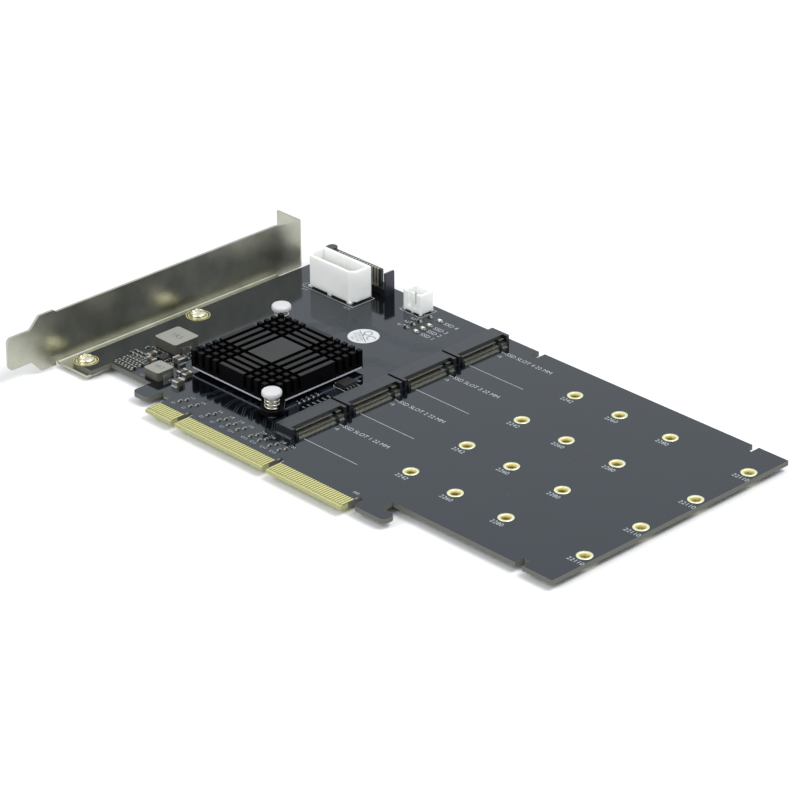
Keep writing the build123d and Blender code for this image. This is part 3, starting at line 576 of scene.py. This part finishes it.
# moulding compound: dead black with fine pits, and edges softened by the mould
moulding = mottled("black_epoxy_moulding", 0.15, {"Base Color": linear("#161616"), "Roughness": 0.55},
                   skin=(0.08, 0.15, 0.01))
finish_cad("switch_chip", moulding)
finish_cad("small_chips", moulding)

# filled silicone: an even, matt grey, a little mottled
silicone = mottled("grey_silicone_pad", 0.3, {"Roughness": 0.8}, ("#6f747a", "#8b9097"))
finish_cad("thermal_pad", silicone)

# Heat sink: an extruded aluminium block, sawn both ways into fins and pins round a plain field, and
# black anodised, with a painted highlight along its lower rim. Two ears take the push pins.

SINK_MIDDLE = (-3.1 * MM, 44.4 * MM)
FIELD_HALF = (5.4 * MM, 7.0 * MM)
EAR_START = 17.8 * MM
# height up to which the painted highlight runs on the lower rim
PAINTED_HIGHLIGHT_TOP = 1.75 * MM

# black anodising: a deep, dull black that shows the saw's lines; a bright painted highlight runs along the
# rim
anodised, tree, spot = blank_material("black_anodised_aluminium_painted_rim_highlight")
place = add(tree, "ShaderNodeSeparateXYZ", links={0: spot})
side = on_walls(tree)
# the band of the painted highlight: upright walls below the rim's top, ears left out
low = add(tree, "ShaderNodeMath", {1: PAINTED_HIGHLIGHT_TOP}, {0: place.outputs[2]}, operation="LESS_THAN")
highlight_rim = add(tree, "ShaderNodeMath", links={0: side, 1: low}, operation="MULTIPLY")
saw = add(tree, "ShaderNodeMapping", {"Scale": (1 / (0.9 * MM), 1 / (0.9 * MM), 1 / (0.10 * MM))},
          {"Vector": spot})
lines = add(tree, "ShaderNodeTexNoise", {"Scale": 1.0, "Detail": 2.0}, {"Vector": saw})
grain = soft_skin(tree, 0.12, 0.12, 0.01, lines)
dust = add(tree, "ShaderNodeTexNoise", {"Scale": 1 / (5 * MM), "Detail": 4.0}, {"Vector": spot})
dull = add(tree, "ShaderNodeMapRange", {3: 0.30, 4: 0.45}, {0: dust})
away = [add(tree, "ShaderNodeMath", {1: middle}, {0: place.outputs[k]}, operation="SUBTRACT")
        for k, middle in enumerate(SINK_MIDDLE)]
away = [add(tree, "ShaderNodeMath", links={0: offset}, operation="ABSOLUTE") for offset in away]
# the ears stand past the block's corners, and the painted highlight leaves their edges black
ear = [add(tree, "ShaderNodeMath", {1: EAR_START}, {0: offset}, operation="GREATER_THAN")
       for offset in away]
ear = add(tree, "ShaderNodeMath", links={0: ear[0], 1: ear[1]}, operation="MULTIPLY")
highlight_rim = add(tree, "ShaderNodeMath", links={0: highlight_rim, 1: ear}, operation="SUBTRACT", use_clamp=True)
away = [add(tree, "ShaderNodeMath", {1: half}, {0: offset}, operation="GREATER_THAN")
        for half, offset in zip(FIELD_HALF, away)]
on_fin = add(tree, "ShaderNodeMath", links={0: away[0], 1: away[1]}, operation="MAXIMUM")
on_pin = add(tree, "ShaderNodeMath", links={0: away[0], 1: away[1]}, operation="MULTIPLY")
spec = add(tree, "ShaderNodeMapRange", {3: 0.5, 4: 0.26}, {0: on_fin})
# the sawn pins and the walls are duller than the polished field
worked = add(tree, "ShaderNodeMath", links={0: on_pin, 1: side}, operation="MAXIMUM")
spec = add(tree, "ShaderNodeMath", {1: -0.18}, {0: worked, 2: spec}, operation="MULTIPLY_ADD")
tint = add(tree, "ShaderNodeMix", {6: linear("#040404"), 7: linear("#070608")}, {0: on_fin},
           data_type="RGBA")
shader = add(tree, "ShaderNodeBsdfPrincipled", {"IOR": 1.45, "Specular IOR Level": 0.2},
             {"Base Color": tint, "Roughness": dull, "Normal": grain,
              "Specular IOR Level": spec})
# painted highlight: a pale lavender, half-metal finish on the lower rim's walls
painted_highlight = add(tree, "ShaderNodeBsdfPrincipled",
             {"Base Color": linear("#e2e0ee"), "Metallic": 0.5, "Roughness": 0.3})
both = add(tree, "ShaderNodeMixShader", links={0: highlight_rim, 1: shader, 2: painted_highlight})
add(tree, "ShaderNodeOutputMaterial", links={0: both})
finish_cad("heat_sink", anodised)

# Push pins: moulded nylon pins with a split, barbed tip that snaps under the board. A plated
# spring under each head presses the sink's ears down.

# natural nylon: a milky white with a low shine, in which light spreads a little
nylon = {"IOR": 1.53, "Roughness": 0.38, "Subsurface Weight": 0.25, "Subsurface Scale": 0.6 * MM,
         "Subsurface Radius": (1.0, 1.0, 1.0)}
white_nylon = mottled("natural_nylon", 2.5, nylon, ("#bdbdc0", "#cbcbce"), 3.0, skin=(0, 0.06, 0.05))
finish_cad("push_pins", white_nylon)


def slit(obj, places, width, low, high):
    """Cut a slot through the obj at each place, from one height to another."""
    for x, y in places:
        bm = bmesh.new()
        bmesh.ops.create_cube(bm, size=1.0, matrix=Matrix.Translation((x, y, (low + high) / 2))
                              @ Matrix.Diagonal((width, 8 * MM, high - low, 1)))
        mesh = bpy.data.meshes.new("cutter")
        bm.to_mesh(mesh)
        bm.free()
        cutter = new_object("cutter", mesh)
        cut = obj.modifiers.new("cut", "BOOLEAN")
        cut.object = cutter
        cut.operation = "DIFFERENCE"
        cut_mesh = settled(obj)
        obj.modifiers.clear()
        obj.data = cut_mesh
        bpy.data.objects.remove(cutter)


PUSH_PINS = [(17.5 * MM, 23.8 * MM), (-23.7 * MM, 65.0 * MM)]
profile = [(0, -3.17), (0.87, -3.17), (1.2, -2.75), (1.62, -2.0), (1.88, -1.66), (1.84, -1.59),
           (1.45, -1.59), (1.45, 6.8), (2.75, 6.8), (2.98, 6.9), (3.05, 7.1), (3.05, 7.75), (2.96, 8.1),
           (2.72, 8.35), (2.2, 8.55), (1.4, 8.6), (0, 8.6)]
profile = [(r * MM, z * MM) for r, z in profile]
pins = lathe("push_pins_with_split_tips", profile, PUSH_PINS, white_nylon, 64)
slit(pins, PUSH_PINS, 0.7 * MM, -3.4 * MM, -0.3 * MM)
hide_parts("push_pins")

sizes = {"Turns": 3.0, "Coil radius": 2.1 * MM, "Wire": 0.26 * MM, "Height": 3.4 * MM}
tree, inputs = new_tree("compression_spring", sizes)
coil = add(tree, "GeometryNodeCurveSpiral", {"Resolution": 40},
           {"Rotations": inputs.outputs["Turns"], "Start Radius": inputs.outputs["Coil radius"],
            "End Radius": inputs.outputs["Coil radius"], "Height": inputs.outputs["Height"]})
wire = add(tree, "GeometryNodeCurvePrimitiveCircle", {"Resolution": 12}, {"Radius": inputs.outputs["Wire"]})
solid = add(tree, "GeometryNodeCurveToMesh", {"Fill Caps": True}, {0: coil, 1: wire})
smooth = add(tree, "GeometryNodeSetShadeSmooth", links={0: solid})
spread = add(tree, "GeometryNodeInstanceOnPoints", links={"Points": inputs.outputs[0], "Instance": smooth})
close_tree(tree, spread, nickel)
springs = points_object("push_pin_spring_coils", [(x, y, 2.96 * MM) for x, y in PUSH_PINS])
grow(springs, tree, sizes)
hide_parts("push_pin_springs")

# Power and fan header housings: thin-walled nylon boxes, moulded, open at the top and pressed onto
# the board over their pins.

# milky nylon: the walls let light through, so the inside is nearly as pale as the outside
nylon = {"IOR": 1.5, "Roughness": 0.45, "Subsurface Weight": 0.8, "Subsurface Scale": 3.0 * MM,
         "Subsurface Radius": (1.0, 1.0, 1.0)}
milky_nylon = mottled("milky_header_nylon", 3, nylon, ("#f0f2ee", "#f8f9f6"), 3.0, skin=(0.2, 0.06, 0.05))
finish_cad("power_header_housing", milky_nylon)
finish_cad("fan_header_housing", milky_nylon)

# Module sockets and the blade header's housing: black nylon filled with glass fibre, moulded
# in one piece each and held to the board by metal strips.

# glass-filled nylon: a satin, slightly bluish black with fine moulding grain
socket_nylon, tree, spot = blank_material("glass_filled_nylon")
flow = add(tree, "ShaderNodeTexNoise", {"Scale": 1 / (3 * MM), "Detail": 4.0}, {"Vector": spot})
grain = add(tree, "ShaderNodeTexNoise", {"Scale": 1 / (0.12 * MM), "Detail": 2.0}, {"Vector": spot})
skin = soft_skin(tree, 0.08, 0.2, 0.01, grain)
sheen = add(tree, "ShaderNodeMapRange", {3: 0.28, 4: 0.42}, {0: flow})
shader = add(tree, "ShaderNodeBsdfPrincipled",
             {"Base Color": linear("#0f1113"), "IOR": 1.6, "Specular Tint": (0.90, 0.98, 1.10, 1.0)},
             {"Roughness": sheen, "Normal": skin})
add(tree, "ShaderNodeOutputMaterial", links={0: shader})
for site in range(4):
    finish_cad(f"module_socket_{site + 1}", socket_nylon)
finish_cad("blade_header_housing", socket_nylon)

# Contacts of the sockets and of the blade header: springs stamped from bronze strip, flashed with
# gold and pressed into the housings. Half of a socket's contacts reach over the module, half under.

CONTACT_PITCH = 0.5
CONTACTS_AND_KEY = 36
KEY_OFFSET = 6.125
KEY_HALF = 0.81
CONTACT_WIDTH = 0.24
BLADES = [-40.64 + 1.27 * i for i in range(15)]
BLADE_WIDTH = 0.8

# gold flash on bronze: a greyish, pale gold, too thin to look yellow
contact_gold = mottled("gold_flashed_bronze", 0.4, {"Metallic": 1.0, "Roughness": 0.3},
                       ("#a5a498", "#d2d0c2"), 3.0)
for site in range(4):
    finish_cad(f"socket_contacts_{site + 1}", contact_gold)
finish_cad("blade_header_contacts", contact_gold)


def blocks(name, boxes, material):
    """Boxes given by their low and high corners, laid out by one tree as one piece."""
    middles = [[(a + b) / 2 for a, b in zip(low, high)] for low, high in boxes]
    spans = [[b - a for a, b in zip(low, high)] for low, high in boxes]
    sizes = {"Unit": 1.0}
    tree, inputs = new_tree(name, sizes)
    side = add(tree, "ShaderNodeCombineXYZ", links={k: inputs.outputs["Unit"] for k in range(3)})
    cube = add(tree, "GeometryNodeMeshCube", links={"Size": side})
    span = add(tree, "GeometryNodeInputNamedAttribute", {"Name": "span"}, data_type="FLOAT_VECTOR")
    spread = add(tree, "GeometryNodeInstanceOnPoints",
                 links={"Points": inputs.outputs[0], "Instance": cube, "Scale": span})
    close_tree(tree, spread, material)
    return grow(points_object(name, middles, span=spans), tree, sizes)


def block(x0, x1, y, width, z0, z1):
    """The two corners of a strip that runs along x, in millimetres."""
    return (x0 * MM, (y - width / 2) * MM, z0 * MM), (x1 * MM, (y + width / 2) * MM, z1 * MM)


contact_rows = []
for row in SITE_ROWS:
    middle = row / MM
    places = [middle + (i - (CONTACTS_AND_KEY - 1) / 2) * CONTACT_PITCH for i in range(CONTACTS_AND_KEY)]
    contact_rows += [y for y in places if abs(y - middle - KEY_OFFSET) > KEY_HALF]
blocks("upper_socket_contacts", [block(29.8, 32.7, y, CONTACT_WIDTH, 2.12, 2.28) for y in contact_rows],
       contact_gold)
# the blade contacts hook over the edge of their tongue
hooks = [((x * MM, 104.75 * MM, 7.3 * MM), ((x + BLADE_WIDTH) * MM, 104.9 * MM, 7.98 * MM)) for x in BLADES]
hooks += [((x * MM, 104.88 * MM, 7.9 * MM), ((x + BLADE_WIDTH) * MM, 105.5 * MM, 7.97 * MM)) for x in BLADES]
blocks("blade_contact_tips", hooks, contact_gold)
blocks("socket_contact_legs", [block(33.75, 33.92, y, CONTACT_WIDTH, 0.0, 1.34) for y in contact_rows],
       contact_gold)

# Tinned metal: the sockets' hold-downs and feet, the headers' pins, the chips' leads and the
# inductors' strips, all of copper alloy with a tin coat, and the solder that fixes the pins.

POWER_PINS = [((-38.62 + 5.08 * i) * MM, 95.75 * MM) for i in range(4)]
FAN_PINS = [((-4.8 + 2.5 * i) * MM, 104.2 * MM) for i in range(2)]
TAIL_HALF = 0.55 * MM
TAIL_TOP = 0.7 * MM
TAIL_LOW = -2.77 * MM

# matt tin: a soft, frosted silver
tin = mottled("matt_tin_plating", 0.5, {"Metallic": 1.0, "Base Color": linear("#c9c9c4")},
              detail=4.0, gloss=(0.25, 0.45))
for name in ("socket_hold_downs", "power_header_pins", "fan_header_pins", "inductor_terminals",
             "small_chip_leads"):
    finish_cad(name, tin)

blocks("socket_feet", [block(33.8, 34.5, y, 0.3, 0.0, 0.14) for y in contact_rows]
       + [block(25.3, 25.9, y, 0.3, 0.0, 0.14) for y in contact_rows], tin)
profile = [(0, 0.7), (1.05, 0.7), (1.05, 8.55), (0.98, 8.8), (0.8, 8.96), (0.6, 9.0), (0, 9.0)]
profile = [(r * MM, z * MM) for r, z in profile]
power_pins = lathe("power_pins_with_rounded_ends", profile, POWER_PINS, tin, 32)
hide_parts("power_header_pins")
tails = [((x - TAIL_HALF, y - TAIL_HALF, TAIL_LOW), (x + TAIL_HALF, y + TAIL_HALF, TAIL_TOP))
         for x, y in POWER_PINS]
blocks("power_pin_tails", tails, tin)
profile = [(0.5, -2.4), (0.62, -2.2), (0.9, -1.85), (1.3, -1.6), (1.3, -1.58), (0.5, -1.58), (0.5, -2.4)]
lathe("solder_joints", [(r * MM, z * MM) for r, z in profile], POWER_PINS + FAN_PINS, tin, 32)

# Inductors: blocks of iron powder pressed round a coil, grey, with painted shade darkening the sides.
# Tinned strips at two sides are soldered to the board.

# pressed powder: a faintly speckled grey, with darker sides that are painted shade
powder, tree, spot = blank_material("pressed_iron_powder_with_painted_shade")
specks = add(tree, "ShaderNodeTexNoise", {"Scale": 1 / (0.25 * MM), "Detail": 4.0}, {"Vector": spot})
tone = add(tree, "ShaderNodeMix", {6: linear("#767670"), 7: linear("#9a9a92")}, {0: specks},
           data_type="RGBA")
facing = add(tree, "ShaderNodeSeparateXYZ", links={0: add(tree, "ShaderNodeTexCoord").outputs["Normal"]})
on_top = add(tree, "ShaderNodeMath", {1: 0.7}, {0: facing.outputs[2]}, operation="GREATER_THAN")
# painted shade: the sides, which face away from the lamps, get a darker copy of the grey
painted_shade_sides = add(tree, "ShaderNodeMix", {6: linear("#35342f"), 7: linear("#56544c")}, {0: specks}, data_type="RGBA")
tone = add(tree, "ShaderNodeMix", links={0: on_top, 6: painted_shade_sides, 7: tone}, data_type="RGBA")
pits = soft_skin(tree, 0.15, 0.3, 0.02, specks)
shader = add(tree, "ShaderNodeBsdfPrincipled", {"Roughness": 0.5}, {"Base Color": tone, "Normal": pits})
add(tree, "ShaderNodeOutputMaterial", links={0: shader})
finish_cad("inductor_large", powder)
finish_cad("inductor_small", powder)

# Small surface parts: fired ceramic capacitors, resistors with a glazed face and lamps cast in
# resin. Each has a tinned cap at either end, soldered to the board.

# capacitor ceramic: a dull, dark brown
ceramic = mottled("brown_capacitor_ceramic", 0.3, {"Roughness": 0.45}, ("#37322b", "#51493e"))
finish_cad("coupling_capacitors", ceramic)
finish_cad("supply_capacitors", ceramic)

# resistor glaze: nearly black, with a soft shine
glaze = mottled("black_resistor_glaze", 0.3, {"Roughness": 0.3}, ("#1b1918", "#2c2927"))
finish_cad("small_surface_parts", glaze)

# lamp resin: a glossy, warm white when unlit
resin = mottled("milky_lamp_resin", 0.6, {"Roughness": 0.2}, ("#eceade", "#f6f5ee"))
finish_cad("status_lamps", resin)


def solid_boxes(node_name):
    """The low and high corner of each separate solid of a CAD node."""
    merged = bmesh.new()
    merged.from_mesh(cad[node_name].data)
    bmesh.ops.remove_doubles(merged, verts=merged.verts, dist=0.001 * MM)
    unseen = set(merged.verts)
    corners = []
    while unseen:
        queue = [unseen.pop()]
        island = []
        while queue:
            vertex = queue.pop()
            island.append(vertex.co.copy())
            near = [edge.other_vert(vertex) for edge in vertex.link_edges]
            queue += [other for other in near if other in unseen]
            unseen.difference_update(near)
        axes = list(zip(*island))
        corners.append(([min(axis) for axis in axes], [max(axis) for axis in axes]))
    merged.free()
    return sorted(corners)


def metal_ends(boxes, share):
    """Cap boxes round both ends of two-ended parts, and the solder in front of them."""
    ends = []
    skin = 0.02 * MM
    fillet = 0.36 * MM
    for low, high in boxes:
        axis = 0 if high[0] - low[0] > high[1] - low[1] else 1
        reach = share * (high[axis] - low[axis])
        for end in range(2):
            a = [low[0] - skin, low[1] - skin, 0.0]
            b = [high[0] + skin, high[1] + skin, high[2] + skin]
            c, d = list(a), [b[0], b[1], min(0.16 * MM, 0.4 * high[2])]
            if end:
                a[axis], c[axis], d[axis] = high[axis] - reach, high[axis], high[axis] + fillet
            else:
                b[axis], d[axis], c[axis] = low[axis] + reach, low[axis], low[axis] - fillet
            ends += [(a, b), (c, d)]
    return ends


for node_name, share in (("coupling_capacitors", 0.27), ("supply_capacitors", 0.22),
                         ("small_surface_parts", 0.25), ("status_lamps", 0.22)):
    blocks(node_name + "_ends", metal_ends(solid_boxes(node_name), share), tin)

# the smallest resistors and capacitors, 1.0 x 0.5 mm, in rows wherever the larger parts leave room:
# the first one's place, how many, their step in millimetres, and whether they stand along y
TINY_HEIGHT = 0.35 * MM
TINY_ROOM = 0.55 * MM
TINY_ROWS = [(-43.6, 21.4, 6, 1.5, False), (-43.6, 23.2, 6, 1.5, False), (-42.9, 26.9, 8, 1.4, True),
             (-30.9, 22.7, 6, 1.5, True), (-30.9, 24.6, 6, 1.5, False), (-30.9, 26.4, 6, 1.5, False),
             (-30.6, 28.6, 6, 1.5, True), (-30.6, 31.0, 6, 1.5, False), (-30.6, 33.2, 6, 1.5, True),
             (-31.0, 36.0, 5, 1.5, False), (-21.0, 17.6, 3, 1.4, True), (17.0, 46.2, 5, 1.5, False),
             (17.0, 48.0, 5, 1.5, True), (16.8, 57.0, 5, 1.5, False), (16.8, 59.2, 5, 1.5, True),
             (17.2, 34.0, 4, 1.6, True), (17.2, 36.4, 4, 1.6, False)]


def clear_of(low, high, others, room):
    """Whether a box keeps some room from all the others, seen from above."""
    return not any(all(a[k] - room < high[k] and b[k] + room > low[k] for k in (0, 1)) for a, b in others)


standing = []
for node_name in ("supply_capacitors", "small_surface_parts", "status_lamps", "small_chips",
                  "small_chip_leads", "inductor_large", "inductor_small", "inductor_terminals",
                  "heat_sink", "push_pins", "coupling_capacitors", "module_socket_1", "module_socket_2",
                  "module_socket_3", "power_header_housing", "fan_header_housing", "bracket_screws"):
    standing += solid_boxes(node_name)
tiny = []
for x, y, count, step, upright in TINY_ROWS:
    for k in range(count):
        half = (0.25, 0.5) if upright else (0.5, 0.25)
        middle = (x + k * step * (1.0 if upright else 1.25), y)
        low = [(middle[0] - half[0]) * MM, (middle[1] - half[1]) * MM, 0.0]
        high = [(middle[0] + half[0]) * MM, (middle[1] + half[1]) * MM, TINY_HEIGHT]
        if clear_of(low, high, standing, TINY_ROOM):
            tiny.append((low, high))
blocks("tiny_resistors", tiny[::2], glaze)
blocks("tiny_capacitors", tiny[1::2], ceramic)
blocks("tiny_part_ends", metal_ends(tiny, 0.27), tin)

# Values on the inductors: plain figures for the inductance, stamped in dark grey ink on
# each one's top.

# stamping ink: a matt dark grey with thin patches
dark_print = mottled("dark_grey_print", 0.5, {"Roughness": 0.6}, ("#3f4243", "#5b5f61"))
lettering("inductor_marks", [("1R5", -37.4, 34.2, 2.2, 0, "CENTER")], dark_print,
          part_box("inductor_large")[1][2])
lettering("small_inductor_mark", [("4R7", -26.0, 17.3, 1.7, 0, "CENTER")], dark_print,
          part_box("inductor_small")[1][2])

# Round inspection label: white polyester film, printed in dark grey and stuck on by hand at a
# slant. Places on it are in millimetres from its middle, along and across its print.

# polyester film: a smooth, slightly grey white with a low shine
film = mottled("white_polyester_film", 1.5, {"Roughness": 0.4}, ("#c3c5c8", "#d2d4d6"), 3.0)
finish_cad("round_label", film)

LABEL = (-2.05, 79.2)
TURN = -31.0
along = Vector((math.cos(math.radians(TURN)), math.sin(math.radians(TURN))))
up = Vector((-along.y, along.x))


def on_label(u, v):
    """A point of the label, given along and across its print."""
    point = Vector(LABEL) + along * u + up * v
    return point.x, point.y


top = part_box("round_label")[1][2]
rows = [("QC", 1.7, 3.0), ("CHECKED", -1.15, 0.95), ("TESTED OK", -2.35, 0.85), ("1234", -3.5, 0.8)]
rows = [(text, *on_label(0.0, across), height, TURN, "CENTER") for text, across, height in rows]
lettering("label_print", rows, dark_print, top)
rule = [(x * MM, y * MM) for x, y in (on_label(-4.2, -0.25), on_label(4.2, -0.25))]
strips("label_rule", [rule], 0.22 * MM, top, top + 2 * INK, dark_print)

# Stage: a plain pale floor under the card, a white surround that the mask mirrors, and two soft
# lamps above it.

FLOOR_Z = cad_box[0][2]
FLOOR_HALF = 6.0

# studio paper: flat, pale and even, so that it only takes the card's shadow
paper, tree, spot = blank_material("pale_studio_paper")
shader = add(tree, "ShaderNodeBsdfPrincipled", {"Base Color": linear("#f2f2f2"), "Roughness": 0.9})
add(tree, "ShaderNodeOutputMaterial", links={0: shader})
mesh = bpy.data.meshes.new("floor")
corners = [(-FLOOR_HALF, -FLOOR_HALF), (FLOOR_HALF, -FLOOR_HALF), (FLOOR_HALF, FLOOR_HALF),
           (-FLOOR_HALF, FLOOR_HALF)]
mesh.from_pydata([(x, y, FLOOR_Z) for x, y in corners], [], [(0, 1, 2, 3)])
mesh.materials.append(paper)
new_object("floor", mesh)

world = bpy.data.worlds.new("studio")
bpy.context.scene.world = world
world.use_nodes = True
tree = world.node_tree
tree.nodes.clear()
ray = add(tree, "ShaderNodeLightPath")
seen = add(tree, "ShaderNodeMath", links={0: ray.outputs["Is Camera Ray"], 1: ray.outputs["Is Glossy Ray"]},
           operation="MAXIMUM")
seen = add(tree, "ShaderNodeMath", links={0: seen, 1: ray.outputs["Is Transmission Ray"]},
           operation="MAXIMUM")
level = add(tree, "ShaderNodeMapRange", {3: 0.7, 4: 1.0}, {0: seen})
sky = add(tree, "ShaderNodeBackground", {"Color": (0.95, 0.98, 1.0, 1.0)}, {"Strength": level})
add(tree, "ShaderNodeOutputWorld", links={0: sky})


def soft_lamp(name, place, aim, size, power):
    """A square soft box pointed at a place."""
    light = bpy.data.lights.new(name, "AREA")
    light.shape = "SQUARE"
    light.size = size
    light.energy = power
    lamp = new_object(name, light)
    lamp.location = place
    lamp.rotation_euler = (Vector(aim) - Vector(place)).to_track_quat("-Z", "Y").to_euler()


soft_lamp("key", (0.55, 0.25, 0.9), (0.03, 0.06, 0), 0.5, 7.0)
soft_lamp("fill", (-0.1, -0.8, 0.6), (0.03, 0.06, 0), 0.6, 5.0)

# Camera: the photograph's place and angle, with a long lens. Both were found from the pitch of the
# fingers and the length of the bracket.

camera_data = bpy.data.cameras.new("photo_view")
camera_data.lens = 156.5
camera_data.sensor_width = 36.0
camera_data.clip_end = 20.0
camera = new_object("photo_view", camera_data)
camera.location = (0.69975, -0.57761, 0.46840)
camera.rotation_euler = [math.radians(turn) for turn in (62.96647, 0.38031, 46.04235)]
bpy.context.scene.camera = camera
bpy.context.scene.view_settings.view_transform = "Standard"
